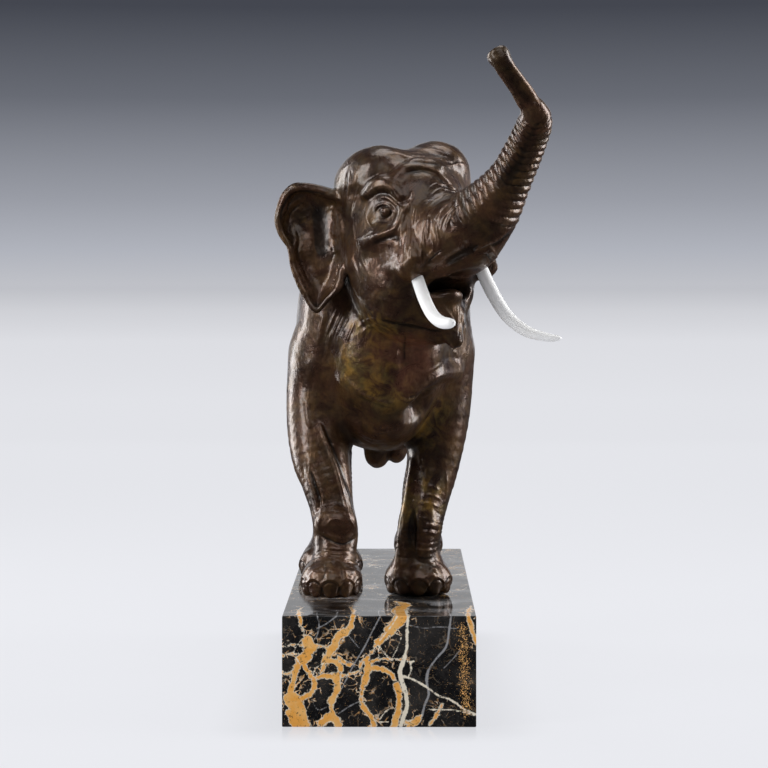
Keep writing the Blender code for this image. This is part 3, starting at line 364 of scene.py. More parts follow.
FRONT_LINES = {
    "forehead": [
        (0.8, 2.2, [
            (394, 170), (405, 166.4), (421, 166.4), (433, 169.6), (444, 177), (456, 190), (462, 195),
        ]),
        (-0.6, 3.0, [(400, 177), (412, 171.5), (425, 171.5), (436, 176.5), (447, 186), (456, 194)]),
        (0.8, 2.0, [
            (381, 156), (390, 153), (399, 153.6), (407, 156.8), (416, 158), (427, 158.4), (446, 160),
            (459, 165),
        ]),
        (-0.6, 2.4, [(383, 162), (395, 160), (407, 162), (420, 162.5), (440, 165), (452, 172)]),
        (0.5, 1.6, [(412, 151), (424, 149), (436, 150), (448, 154)]),
        (-0.4, 1.6, [(408, 154.5), (422, 153.5), (438, 155), (452, 158.5)]),
        (0.6, 1.6, [(438, 166), (450, 166), (460, 164), (467, 165)]),
    ],
    "fan": [
        (0.63, 0.9, [(461, 194), (453, 188), (446, 184.6), (437, 184), (431, 187), (425, 193)]),
        (0.63, 0.9, [(460, 195.5), (449, 189.5), (438, 190), (430, 197)]),
        (0.63, 0.9, [(458, 196.5), (446, 194.3), (436, 198), (427, 205), (422, 212)]),
        (0.63, 0.9, [(457, 198), (448, 199.5), (439, 203.5), (431, 211), (426, 221)]),
        (0.7, 1.0, [(456, 200.5), (446, 205), (439, 212.5), (434, 223)]),
        (0.77, 1.1, [(457, 203.5), (449, 211), (443, 219), (440, 230)]),
        (0.77, 1.1, [(458, 206), (453, 214), (448, 222), (446, 231)]),
        (0.84, 1.1, [(429, 217), (428, 228), (427, 238)]),
        (0.84, 1.1, [(437, 222), (437, 232), (439, 242), (436, 252)]),
        (0.7, 1.0, [(432, 240), (433, 248), (431, 258)]),
        (0.7, 1.0, [(425, 226), (424, 240), (425, 250)]),
        (0.84, 1.1, [(451, 213), (453, 219), (456, 225)]),
        (0.84, 1.1, [(457.5, 205), (458, 212), (461, 219)]),
    ],
    "lip": [
        (-0.8, 1.2, [(424, 266), (431, 259), (438, 253), (446, 249)]),
        (0.7, 1.6, [(417, 268), (421, 264), (427, 257), (434, 250.5)]),
        (1.0, 1.5, [(510, 228), (504, 234), (496, 240), (486, 244), (478, 249), (474, 256)]),
        (-1.0, 1.8, [(511, 232), (505, 238), (497, 244), (489, 247)]),
        (1.0, 1.6, [(487, 247), (493, 251), (497, 259), (497, 268), (494, 277)]),
        (-0.8, 1.6, [(483, 252), (489, 257), (492, 265), (491, 274)]),
        (-1.2, 5.0, [(484, 244), (470, 250), (456, 258), (442, 266)]),
        (0.8, 2.0, [(424, 280), (434, 277), (446, 275), (456, 278), (468, 276), (474, 270)]),
        (0.25, 0.9, [(440, 262), (455, 253), (472, 246), (488, 240)]),
        (0.25, 0.9, [(446, 268), (462, 259), (478, 252)]),
        (0.25, 0.9, [(450, 246), (464, 240), (482, 235), (498, 231)]),
        (0.25, 0.9, [(466, 232), (484, 228), (502, 224)]),
    ],
    "lower lip": [
        (0.8, 1.4, [(474, 284), (469, 296), (465, 308), (463, 320), (467, 332)]),
        (0.6, 1.2, [(477, 282), (474, 294), (472, 308), (470, 322), (471, 340)]),
        (0.5, 1.2, [(440, 300), (446, 310), (452, 318), (456, 326)]),
        (0.6, 1.2, [(458, 302), (458, 315), (457, 330), (456, 345)]),
        (0.5, 1.2, [(462, 304), (462, 320), (460, 338)]),
        (0.5, 1.1, [(438, 312), (445, 317), (452, 322)]),
        (0.5, 1.1, [(446, 325), (452, 329), (458, 335)]),
        (0.5, 1.1, [(445, 340), (451, 345), (456, 348)]),
    ],
    "throat": [
        (-1.0, 1.5, [(371, 314), (378, 319), (388, 322), (404, 325), (420, 328), (436, 331), (450, 331)]),
        (0.5, 1.5, [(357, 329), (363, 323), (371, 318.5), (381, 321)]),
        (0.4, 1.2, [(362, 333), (370, 326), (380, 326)]),
        (-0.7, 1.2, [(406, 331), (405, 340), (404.5, 352), (405, 364)]),
        (0.5, 2.0, [(410, 336), (412, 350), (411, 364)]),
        (0.4, 1.6, [(398, 334), (397, 348), (396, 360)]),
        (0.6, 1.1, [(346, 308), (340, 318), (335, 329), (332, 338)]),
        (0.6, 1.1, [(341, 303), (335, 314), (330, 325), (326, 337)]),
        (0.5, 1.0, [(351, 314), (345, 324), (340, 334), (337, 344)]),
        (0.4, 1.0, [(355, 322), (350, 333), (346, 344)]),
    ],
    "chest": [
        (0.9, 2.4, [(325, 314), (321, 326), (318, 346)]),
        (0.6, 1.6, [(332, 330), (328, 344), (327, 358)]),
        (0.7, 2.0, [(344, 378), (351, 384), (358, 390), (370, 397), (388, 402), (402, 401)]),
        (-0.5, 2.2, [(350, 390), (362, 398), (376, 404), (392, 408), (404, 406)]),
        (0.6, 2.4, [(404, 394), (418, 389), (430, 380), (446, 375), (458, 372)]),
        (0.4, 1.6, [(408, 402), (424, 396), (438, 388), (452, 383)]),
        (-0.5, 2.0, [(404, 400), (420, 394), (434, 385)]),
        (0.4, 1.6, [(410, 368), (424, 372), (438, 366), (446, 356)]),
        (0.5, 2.0, [(448, 340), (456, 352), (462, 366)]),
        (0.4, 1.8, [(346, 340), (342, 356), (343, 370)]),
        (0.5, 1.4, [(352, 427), (362, 433), (374, 439), (388, 438)]),
        (0.5, 1.4, [(366, 430), (380, 432), (394, 429), (404, 424)]),
        (0.5, 1.4, [(372, 446), (384, 450), (396, 447)]),
        (-0.4, 1.2, [(358, 436), (372, 444), (388, 444)]),
    ],
    "right foreleg": [
        (1.53, 2.0, [(306, 400), (308, 412), (310, 430)]),
        (1.53, 1.7, [(317, 418), (323, 434), (331, 455), (337, 472), (344, 498), (352, 523)]),
        (-1.02, 1.8, [(322, 420), (328, 436), (336, 455), (343, 474), (350, 498)]),
        (1.36, 1.7, [(305, 468), (310, 482), (316, 498), (319, 510)]),
        (1.19, 1.5, [(313, 466), (317, 480), (322, 494), (323, 506), (320, 518), (319, 529)]),
        (-1.02, 1.4, [(309, 466), (314, 481), (319, 496), (321, 508)]),
        (-0.9, 1.4, [(316, 531), (322, 536), (330, 540), (341, 544), (352, 541), (358, 534)]),
        (0.6, 1.4, [(319, 528), (326, 533), (340, 538), (352, 535), (357, 527)]),
        (0.5, 1.2, [(327, 526), (331, 520), (338, 519), (345, 523)]),
        (0.4, 1.0, [(332, 528), (336, 525), (341, 527)]),
        (0.6, 1.2, [(348, 518), (353, 524), (355, 530)]),
        (0.4, 0.9, [(320, 545), (332, 549), (345, 549), (355, 545)]),
        (0.4, 0.9, [(322, 551), (334, 554), (346, 553), (355, 550)]),
        (0.4, 0.9, [(323, 557), (335, 559), (347, 558), (355, 555)]),
        (0.9, 3.2, [(309, 580), (312, 573), (317, 569)]),
        (0.8, 3.0, [(350, 579), (354, 574), (353, 568)]),
        (-0.5, 1.6, [(323, 582), (325, 572), (326, 564)]),
        (-0.5, 1.6, [(343, 582), (342, 573), (341, 565)]),
    ],
    "left foreleg": [
        (-1.2, 2.2, [(415, 505), (412, 518), (410, 532), (411, 550)]),
        (0.8, 1.6, [(407, 512), (404, 524), (402, 536), (405, 550), (405, 562)]),
        (0.5, 1.3, [(427, 486), (434, 487), (440, 491)]),
        (0.5, 1.3, [(426, 494), (434, 496), (441, 500)]),
        (0.4, 1.2, [(423, 503), (432, 504), (440, 508)]),
        (0.9, 1.7, [(424, 526), (430, 524.5), (436, 527)]),
        (0.8, 1.5, [(423, 533), (430, 532), (437, 534)]),
        (-0.5, 1.0, [(421, 529.5), (430, 528.5), (438, 531)]),
        (0.45, 1.1, [(415, 541), (425, 545), (438, 543)]),
        (0.45, 1.1, [(414, 547), (425, 551), (438, 549)]),
        (0.45, 1.1, [(414, 553), (425, 557), (438, 556)]),
        (0.7, 1.9, [(427, 561), (432, 563), (436, 562)]),
        (0.7, 1.9, [(429, 570), (434, 569), (438, 571)]),
        (0.5, 1.3, [(446, 470), (447, 488), (444, 508)]),
        (0.8, 2.6, [(424, 580), (429, 575), (436, 576)]),
    ],
    "right ear": [
        (-0.8, 1.8, [
            (332, 199), (322, 194), (310, 192), (298, 192), (289, 198), (283, 208), (281, 219), (284, 229),
        ]),
        (0.9, 1.8, [(305, 196), (296, 200), (288, 207), (282, 216)]),
        (-0.7, 1.6, [(308, 200), (299, 205), (291, 213), (288, 224)]),
        (0.7, 1.4, [(292, 224), (296, 238), (294, 250), (298, 268), (308, 290)]),
        (-0.6, 1.4, [(297, 226), (300, 240), (298, 252), (303, 268), (312, 288)]),
        (1.0, 2.0, [(325, 209), (332, 208), (339, 215), (342, 225), (343, 240)]),
        (-0.8, 2.4, [(329, 214), (334, 220), (336, 232), (335, 246)]),
        (-1.6, 7.0, [(318, 203), (320, 218), (321, 235), (321, 262)]),
        (2.2, 6.0, [(341, 262), (338, 277), (332, 290)]),
        (1.5, 5.0, [(303, 232), (308, 245), (309, 258)]),
        (1.6, 5.0, [(330, 210), (336, 222), (336, 240)]),
        (1.2, 5.0, [(296, 262), (303, 280), (313, 298)]),
        (0.4, 1.2, [(299, 212), (306, 210), (312, 207)]),
        (0.4, 1.2, [(296, 220), (304, 218), (311, 214)]),
        (0.5, 1.6, [(329, 246), (332, 252), (338, 250)]),
    ],
}
# Which part of the casting each group of lines may touch: lowest and highest corner, heights from the floor
LINE_REGIONS = {
    "right ear": ((-0.085, -0.19, 0.27), (-0.02, -0.08, 0.42)),
    "throat": ((-0.08, -0.22, 0.24), (0.08, -0.06, 0.345)),
    "chest": ((-0.08, -0.22, 0.15), (0.085, -0.02, 0.345)),
    "right foreleg": ((-0.08, -0.2, 0.08), (-0.005, -0.07, 0.26)),
    "left foreleg": ((0.005, -0.2, 0.08), (0.08, -0.04, 0.26)),
}
# How far a line is felt, in half widths, over what share of it its ends fade, and how deep they start
LINE_REACH = 3
LINE_FADE = 0.35
LINE_START = 0.15
HEAD_REGION = ((-0.03, -0.3, 0.27), (0.14, -0.07, 0.43))

# Ribs of the trunk: where they begin and end along it, how far apart, and how high
RIB_SPAN = (0.05, 0.16)
RIB_FADE = 0.012
RIB_PITCH = (0.006, 0.0047)
RIB_HEIGHT = 0.0013
RIB_VALLEY = 0.32
RIB_BEND = -0.0050
RIB_WANDER = 0.0005
RIB_PROBE = 0.004
RIB_MARKS = 400
# How far out the trunk's skin is looked for, in metres and then in its radii
TRUNK_REACH = 0.03
TRUNK_SKIN = 1.35
# Level between the ribs' tops and valleys, and how they grow where they stand further apart
RIB_LEVEL = 0.6
RIB_COMMON_PITCH = 0.0045
RIB_GROWTH = (0.7, 1.2)
VALLEY_SHARE = 0.75
STRIP_FADE = 0.02
CHANNEL_FADE = 0.006
# Groove and rim of a nail: how many outlines out, and how wide
GROOVE_RING = (1.0, 0.13)
RIM_RING = (1.28, 0.14)
# Creases: a second, closer row of them, and how they fade in and out along a leg
CREASE_MARGIN = 0.02
SECOND_CREASES = 0.6
SECOND_PITCH = 1.63
CREASE_FADES = (0.15, 0.08)
# Lines are pressed only where the skin is turned towards the view, or well across the head's middle
LEAST_FACING = 0.05
PAST_MIDDLE = 0.004
# The smooth strip along the trunk's front, and the bare underside near its root
STRIP_DEPTH = 0.0007
STRIP_START = 0.09
UNDERSIDE_START = 0.072
CHANNEL_SPAN = (0.166, 0.204)
CHANNEL_DEPTH = 0.0011

# Skin creases round the legs: from what share of each leg's length they gather
CREASED_LEGS = {
    "right foreleg": 0.8,
    "left foreleg": 0.68,
    "right hind leg": 0.45,
    "left hind leg": 0.45,
}
CREASE_PITCH = 0.0042
CREASE_HEIGHT = 0.00028
CREASE_REACH = 0.032
CREASE_WANDER = 0.0016
# Gentle unevenness of the whole skin: height, size and seed of each pattern
SKIN_WAVES = [(0.00022, 0.034, 1.0), (0.0001, 0.011, 4.0)]

# Grooves round the nails
NAIL_OUTLINE = (0.0066, 0.0068)
NAIL_GROOVE = 0.0006
NAIL_RIM = 0.0005
NAIL_REACH = 0.016
NAIL_FADE = 0.003

# Veins on the plinth's front: half width in steps of the front view, and places along each
GOLD_VEINS = [
    (1.5, [(299, 615), (301, 623), (303, 631), (305, 638)]),
    (6.5, [(307, 641), (310, 648), (307, 655), (301, 661)]),
    (3.6, [(301, 661), (296, 670), (293, 683), (290, 695)]),
    (9.5, [(292, 699), (297, 708), (299, 717), (303, 728)]),
    (4.0, [(290, 712), (292, 720), (296, 727)]),
    (1.8, [(354, 615), (351, 625), (346, 632)]),
    (4.2, [(345, 632), (338, 636), (334, 646), (328, 654), (325, 661)]),
    (2.4, [(325, 661), (323, 668), (320, 674)]),
    (3.0, [(302, 662), (308, 671), (313, 678), (322, 676), (332, 677)]),
    (4.6, [(334, 677), (338, 684), (336, 692), (332, 700)]),
    (1.8, [(332, 700), (331, 708), (334, 714)]),
    (3.0, [(313, 679), (315, 687), (308, 695), (298, 700)]),
    (2.2, [(325, 662), (333, 661), (340, 667), (338, 675)]),
    (0.8, [(281, 656), (289, 654), (297, 654)]),
    (0.8, [(281, 646), (292, 645), (300, 645)]),
    (1.0, [(281, 673), (289, 674), (296, 674)]),
    (1.0, [(314, 645), (322, 646), (329, 649)]),
    (4.4, [(321, 723), (329, 717), (337, 721), (338, 727)]),
    (7.0, [(404, 615), (397, 622), (390, 630)]),
    (3.6, [(390, 630), (384, 637), (378, 643)]),
    (2.0, [(378, 643), (371, 653), (366, 661)]),
    (3.4, [(366, 660), (368, 668), (365, 678), (363, 688)]),
    (2.2, [(363, 688), (361, 698), (363, 707), (369, 714), (373, 722), (374, 728)]),
    (1.6, [(371, 668), (380, 668), (389, 673), (395, 680)]),
    (3.4, [(397, 685), (399, 694), (399, 704), (397, 715), (394, 727)]),
    (1.2, [(360, 667), (363, 661), (371, 662), (380, 659), (390, 659), (401, 660)]),
    (2.4, [(403, 723), (412, 722), (420, 717), (416, 723), (408, 727)]),
    (2.0, [(468, 615), (471, 626), (474, 636), (476, 643)]),
    (0.7, [(342, 676), (352, 674), (361, 670)]),
    (0.6, [(442, 704), (436, 716), (430, 725)]),
    (0.7, [(337, 655), (345, 663), (352, 664)]),
]
CREAM_VEINS = [
    (1.4, [(408, 616), (407, 633), (407, 645), (405, 657)]),
    (2.6, [(405, 657), (400, 671), (402, 682), (406, 694)]),
    (2.4, [(406, 694), (407, 706), (404, 716), (401, 725)]),
    (1.1, [
        (402, 676), (412, 679), (423, 685), (432, 691), (439, 696), (449, 699), (457, 704), (464, 709),
        (477, 715),
    ]),
    (0.9, [(410, 661), (411, 671), (408, 677)]),
    (0.9, [(405, 658), (409, 662), (414, 661)]),
    (0.6, [(428, 709), (439, 710), (454, 710), (477, 716)]),
    (0.5, [(378, 645), (379, 657)]),
    (0.5, [(378, 645), (386, 655), (391, 660)]),
    (0.5, [(401, 638), (396, 651), (392, 658)]),
    (0.7, [(397, 617), (392, 625), (386, 633), (380, 640)]),
    (0.5, [(380, 719), (386, 711), (394, 707)]),
    (0.5, [(379, 722), (389, 722)]),
    (0.5, [(312, 679), (316, 668), (325, 663)]),
    (0.5, [(300, 664), (294, 652), (301, 640)]),
]
GREY_VEINS = [
    (1.0, [(451, 617), (449, 632), (446, 647), (436, 659), (428, 671), (426, 680)]),
    (1.2, [(428, 671), (427, 684), (429, 694), (425, 704), (422, 716)]),
    (0.6, [(381, 615), (373, 630), (365, 646), (356, 661), (349, 674), (342, 688)]),
    (0.5, [(317, 615), (319, 626), (316, 639)]),
    (0.4, [(338, 615), (326, 624), (316, 629)]),
    (0.5, [(348, 635), (354, 642), (359, 648)]),
    (0.5, [(344, 662), (352, 662), (356, 668)]),
    (0.4, [(338, 714), (350, 706), (362, 700)]),
    (0.4, [(408, 625), (424, 628), (440, 627), (460, 629)]),
    (0.4, [(312, 700), (318, 710), (327, 707)]),
    (0.4, [(444, 668), (452, 660), (460, 650)]),
]
SPECKLED_BAND = [(462, 628), (463, 650), (464, 672), (465, 695), (466, 712)]
SPECKLED_WIDTH = 11.0
PLINTH_GRID = 0.0010
GRID_GROWTH = 3.6
GRID_GROWTH_RATE = 30.0
EDGE_STEPS = 3
WELD = 0.00001
# Drawn veins: their width as a share of the one given, the farthest distance kept from them,
# and the size of one step of the front view on the plinth's front
VEIN_WIDTH = 0.8
VEIN_FAR = 40.0
STEP_SIZE = 0.00072
# Further back: how far the drawn ones lean, and the cells whose walls take over from them
VEIN_DRIFT = 0.030
VEIN_SEED = 7
VEIN_CELL = 0.085
CREAM_CELL = 0.06
GREY_CELL = 0.05
CELL_BEND = 0.14
CELLS_PER_VOLUME = 1.6
# Hair veins: how many cells to the metre and how wide, as a share of a cell
CRACKS = [(65.0, 0.04), (150.0, 0.055)]
CRACK_BEND = 0.010
# Painted reflection of the pale wall on the plinth's top: how its grey streaks are stretched
TOP_REFLECTION_STRETCH = (20.0, 55.0, 55.0)

# How far out from the surface the openness of each place is felt
HOLLOW_REACHES = (0.0025, 0.006, 0.012)

# Bronze: brown patina and its variations
CHOCOLATE = (0.03, 0.0138, 0.008)
CHESTNUT = (0.078, 0.033, 0.0165)
OLIVE = (0.15, 0.102, 0.027)
OCHRE = (0.28, 0.152, 0.024)
RUSSET = (0.18, 0.066, 0.038)
# Near black of the hollows and grooves: blackened patina, deepened by painted shade where other surfaces
# close in
HOLLOW_PATINA_AND_SHADE = (0.004, 0.003, 0.0022)
RUBBED = (0.165, 0.092, 0.058)
BRONZE_METAL = 0.52
BRONZE_ROUGHNESS = (0.26, 0.42)
BRONZE_WAX = 0.4
BRONZE_WAX_ROUGHNESS = 0.18
HOLLOW_ROUGHNESS = 0.12
# Patterns: scale, detail, roughness, bend; here clouds, drift, grain and the golden places' tints
BRONZE_PATTERNS = [(26.0, 4.0, 0.6, 0.8), (60.0, 5.0, 0.65, 1.2), (420.0, 3.0, 0.6), (90.0, 3.0)]
BRONZE_WAVES = (170.0, 4.0, 0.6, 0.5)
WAVE_STRETCH = (1.0, 1.0, 0.55)
GRAIN_HEIGHT = 0.18
GRAIN_SHARE = 0.35
GRAIN_SHADES = [(0.55, 0.55, 0.55), (1.3, 1.3, 1.3)]
RUBBED_SHARE = 0.55
GOLD_ON_CHEST = 0.75
GOLD_ELSEWHERE = 0.18
CHEST_GOLD = [
    ((-0.016, -0.145, 0.262), 0.03),
    ((0.0, -0.15, 0.285), 0.034),
    ((0.004, -0.145, 0.245), 0.028),
    ((0.032, -0.085, 0.215), 0.03),
    ((-0.052, -0.1, 0.215), 0.026),
    ((0.03, -0.085, 0.15), 0.03),
]
RED_PLACE = ((0.018, -0.15, 0.262), 0.036)
RED_SHARE = 0.7

# Tusks and marble
TUSK_SIDES = 40
TUSK_PALE = (0.9, 0.9, 0.895)
TUSK_SHADE = (0.86, 0.855, 0.845)
TUSK_ROUGHNESS = (0.38, 0.48)
TUSK_PATTERNS = [(70.0, 3.0), (160.0,), (260.0,)]
# Patterns of the marble: clouds, flecks, ragged rims, coarse rims, tints, breaks and dots
MARBLE_PATTERNS = [
    (34.0, 5.0, 0.6, 0.6), (900.0, 3.0, 0.7), (240.0, 6.0, 0.75), (60.0, 3.0, 0.6),
    (130.0, 4.0, 0.6, 0.5), (180.0, 4.0, 0.7), (1500.0, 2.0, 0.5),
]
# Painted reflection on the plinth's top: the pattern of its grey streaks
TOP_REFLECTION_PATTERN = (1.0, 5.0, 0.65, 0.6)
CUT_PATTERN = (300.0, 4.0, 0.7, 1.0)
FLECK_SHARE = 0.25
# How much of the painted reflection on the top shows
TOP_REFLECTION_SHARE = 0.85
# How far the noise moves the rims of the veins, in steps
GREY_RAGGED = 2.0
CREAM_RAGGED = 4.5
GOLD_RAGGED = 9.0
GOLD_COARSE = 5.0
MARBLE_SPECULAR = 0.25
MARBLE_ROUGHNESS = (0.05, 0.10)
MARBLE_BLACK = (0.008, 0.008, 0.0085)
MARBLE_CHARCOAL = (0.036, 0.033, 0.031)
MARBLE_GREY = (0.16, 0.155, 0.15)
# Grey of the painted reflection of the pale wall, laid on the top only
TOP_REFLECTION_GREY = (0.27, 0.27, 0.28)
VEIN_GREY = (0.4, 0.4, 0.41)
VEIN_OCHRE = (0.86, 0.4, 0.08)
VEIN_SAND = (0.88, 0.5, 0.17)
VEIN_CREAM = (0.88, 0.8, 0.65)

# Light: place, size across and up, power
LAMP_TARGET = (0.0, -0.02, 0.26)
LAMPS = {
    "left box": ((-1.25, -0.75, 0.95), (0.34, 1.2), 14),
    "right box": ((1.35, 0.1, 0.7), (0.5, 1.3), 20),
    "left rim box": ((-1.15, 0.55, 0.5), (0.4, 1.2), 13),
    "top box": ((0.1, 0.1, 1.7), (1.0, 0.8), 8),
    "front top box": ((0.3, -1.9, 2.3), (2.2, 1.4), 15),
    "back wall box": ((0.0, 2.6, 0.85), (3.0, 1.3), 6.5),
}
# Studio wall: height of the direction seen and colour, from the horizon upwards
WALL_REACH = 0.125
WALL = [
    (0.0, (0.52, 0.53, 0.57)),
    (0.12, (0.434, 0.451, 0.503)),
    (0.3, (0.319, 0.332, 0.376)),
    (0.66, (0.138, 0.147, 0.174)),
    (0.98, (0.058, 0.063, 0.08)),
]
# How much of it is left behind the camera and below the floor
ROOM_SHARE = 0.22
UNDER_SHARE = 0.12
# Floor: one over the distance from the middle, as a share of the nearest, and its glow
FLOOR_SIZE = 240.0
FLOOR_HEIGHT = -0.0005
FLOOR_NEAR = 0.67
FLOOR_GLOW = [
    (0.0, (0.52, 0.53, 0.57)),
    (0.06, (0.655, 0.662, 0.7)),
    (0.14, (0.755, 0.762, 0.802)),
    (0.34, (0.795, 0.803, 0.843)),
    (1.0, (0.795, 0.803, 0.843)),
]
FLOOR_COLOUR = (0.06, 0.061, 0.063)
FLOOR_GLOW_SHARE = 0.95
FLOOR_ROUGHNESS = 0.18
# Faint sheen of the floor close to the plinth
SHEEN_REACH = 0.060
SHEEN_SHARE = 0.20
SHEEN_ROUGHNESS = 0.10


def turned_axes(turn, lift):
    """The head's own axes as rows: forwards, to its right, upwards."""
    turn, lift = np.radians(turn), np.radians(lift)
    forwards = np.array([np.sin(turn) * np.cos(lift), -np.cos(turn) * np.cos(lift), np.sin(lift)])
    rightwards = np.array([-np.cos(turn), -np.sin(turn), 0.0])
    return np.array([forwards, rightwards, np.cross(rightwards, forwards)])


HEAD_AXES = turned_axes(HEAD_TURN, HEAD_LIFT)
PLINTH_HALVES = np.array([PLINTH_WIDTH, PLINTH_DEPTH, PLINTH_HEIGHT]) / 2
UPRIGHT = np.eye(3)


def on_head(place):
    """A point given along the head's axes, in the body's frame."""
    return np.array(HEAD_MIDDLE) + np.array(place) @ HEAD_AXES


def smooth_path(stations, steps=5):
    """Stations joined by a smooth curve through all of them (Catmull-Rom), radius included."""
    knots = np.array(stations, dtype=float)
    ends = (2 * knots[:1] - knots[1:2], knots, 2 * knots[-1:] - knots[-2:-1])
    knots = np.concatenate(ends)
    t = np.linspace(0, 1, steps, endpoint=False)[:, None]
    pieces = []
    for before, start, stop, after in zip(knots[:-3], knots[1:-2], knots[2:-1], knots[3:]):
        slope = (stop - before) / 2
        bend = before - 2.5 * start + 2 * stop - after / 2
        swing = (after - before) / 2 + 1.5 * (start - stop)
        pieces.append(start + t * (slope + t * (bend + t * swing)))
    pieces.append(knots[-2:-1])
    return np.concatenate(pieces)


def path_from_floor(stations, steps):
    """A smooth path whose stations are given above the plinth, with its heights from the floor."""
    path = smooth_path(stations, steps)
    path[:, 2] += PLINTH_HEIGHT
    return path


def in_box(points, low, high):
    """Which points lie in a box."""
    return ((points > low) & (points < high)).all(axis=1)


def near_path(points, path, reach):
    """Numbers of the points that lie in the box around a path."""
    return np.flatnonzero(in_box(points, path.min(axis=0) - reach, path.max(axis=0) + reach))


def unit(rows):
    """Rows of vectors, each of length one."""
    return rows / np.linalg.norm(rows, axis=1)[:, None]


def soft_join(first, second, blend):
    """The union of two distances, rounded where they meet."""
    share = np.clip(0.5 + 0.5 * (second - first) / blend, 0, 1)
    return second + (first - second) * share - blend * share * (1 - share)


def soft_cut(body, tool, blend):
    """The body without the tool, rounded where they meet."""
    return -soft_join(-body, tool, blend)


class Mass:
    """A rounded form: the box that holds it, its distance from any point, and how softly it joins."""

    def __init__(self, low, high, blend, distance, join=soft_join):
        self.low = np.array(low) - blend - MARGIN
        self.high = np.array(high) + blend + MARGIN
        self.blend = blend
        self.distance = distance
        self.join = join


def ellipsoid(middle, radii, blend, axes=UPRIGHT, join=soft_join):
    middle, radii, axes = np.float32(middle), np.float32(radii), np.float32(axes)

    def distance(x, y, z):
        x, y, z = x - middle[0], y - middle[1], z - middle[2]
        along = [axis[0] * x + axis[1] * y + axis[2] * z for axis in axes]
        near = np.sqrt(sum((a / r) ** 2 for a, r in zip(along, radii)))
        steep = np.sqrt(sum((a / r**2) ** 2 for a, r in zip(along, radii)))
        return near * (near - 1) / np.maximum(steep, 1e-6)

    reach = np.sqrt(((axes * radii[:, None]) ** 2).sum(axis=0))
    return Mass(middle - reach, middle + reach, blend, distance, join)


def limb(path, blend, join=soft_join):
    """A tube along a path whose rows are x, y, z and radius."""
    places, radii = np.float32(path[:, :3]), np.float32(path[:, 3])

    def distance(x, y, z):
        nearest = None
        for start, stop, thin, thick in zip(places[:-1], places[1:], radii[:-1], radii[1:]):
            run = stop - start
            dx, dy, dz = x - start[0], y - start[1], z - start[2]
            share = np.clip((dx * run[0] + dy * run[1] + dz * run[2]) / (run @ run), 0, 1)
            gap = np.sqrt(
                (dx - share * run[0]) ** 2 + (dy - share * run[1]) ** 2 + (dz - share * run[2]) ** 2
            )
            gap = gap - thin - share * (thick - thin)
            nearest = gap if nearest is None else np.minimum(nearest, gap)
        return nearest

    reach = radii[:, None]
    return Mass((places - reach).min(axis=0), (places + reach).max(axis=0), blend, distance, join)


def nail_places(x, y, half_width, half_length):
    """The way each nail of a foot faces, and where on the rim of the pad it sits."""
    for i in range(NAILS_PER_FOOT):
        angle = NAIL_SPREAD * (i / (NAILS_PER_FOOT - 1) - 0.5)
        out = np.array([np.sin(angle), -np.cos(angle)])
        yield out, np.array([x, y]) + out * (half_width, half_length)


def foot(x, y, half_width, half_length, pad, sole):
    """A round pad that stands on a flat sole, with toes and nails around its front."""
    forms = [ellipsoid((x, y, pad), (half_width, half_length, PAD_HEIGHT), PAD_BLEND)]
    for out, rim in nail_places(x, y, half_width, half_length):
        axes = np.array([[out[1], -out[0], 0], [out[0], out[1], 0], [0, 0, 1.0]])
        toe = (*(rim - out * TOE_INSET), sole + TOE_HEIGHT)
        nail = (*(rim - out * NAIL_INSET), sole + NAIL_HEIGHT)
        forms.append(ellipsoid(toe, TOE_RADII, TOE_BLEND, axes))
        forms.append(ellipsoid(nail, NAIL_RADII, NAIL_BLEND, axes))

    def below_sole(x, y, z):
        return z - sole + 0 * x + 0 * y

    low = (x - half_width - SOLE_REACH, y - half_length - SOLE_REACH, sole - SOLE_REACH)
    high = (x + half_width + SOLE_REACH, y + half_length + SOLE_REACH, sole + SOLE_REACH)
    return [*forms, Mass(low, high, SOLE_EDGE, below_sole, soft_cut)]


def outline_distance(outline, across, up):
    """Distance from points to a closed outline, negative inside it."""
    shape = np.broadcast_shapes(across.shape, up.shape)
    squared = np.full(shape, np.inf, dtype=np.float32)
    inside = np.zeros(shape, dtype=bool)
    for start, stop in zip(outline, np.roll(outline, -1, axis=0)):
        run = stop - start
        da, du = across - start[0], up - start[1]
        share = np.clip((da * run[0] + du * run[1]) / (run @ run), 0, 1)
        squared = np.minimum(squared, (da - share * run[0]) ** 2 + (du - share * run[1]) ** 2)
        spans = (start[1] <= up) != (stop[1] <= up)
        side = run[0] * du - run[1] * da
        inside ^= spans & ((side > 0) != (run[1] > 0))
    return np.where(inside, -np.sqrt(squared), np.sqrt(squared))


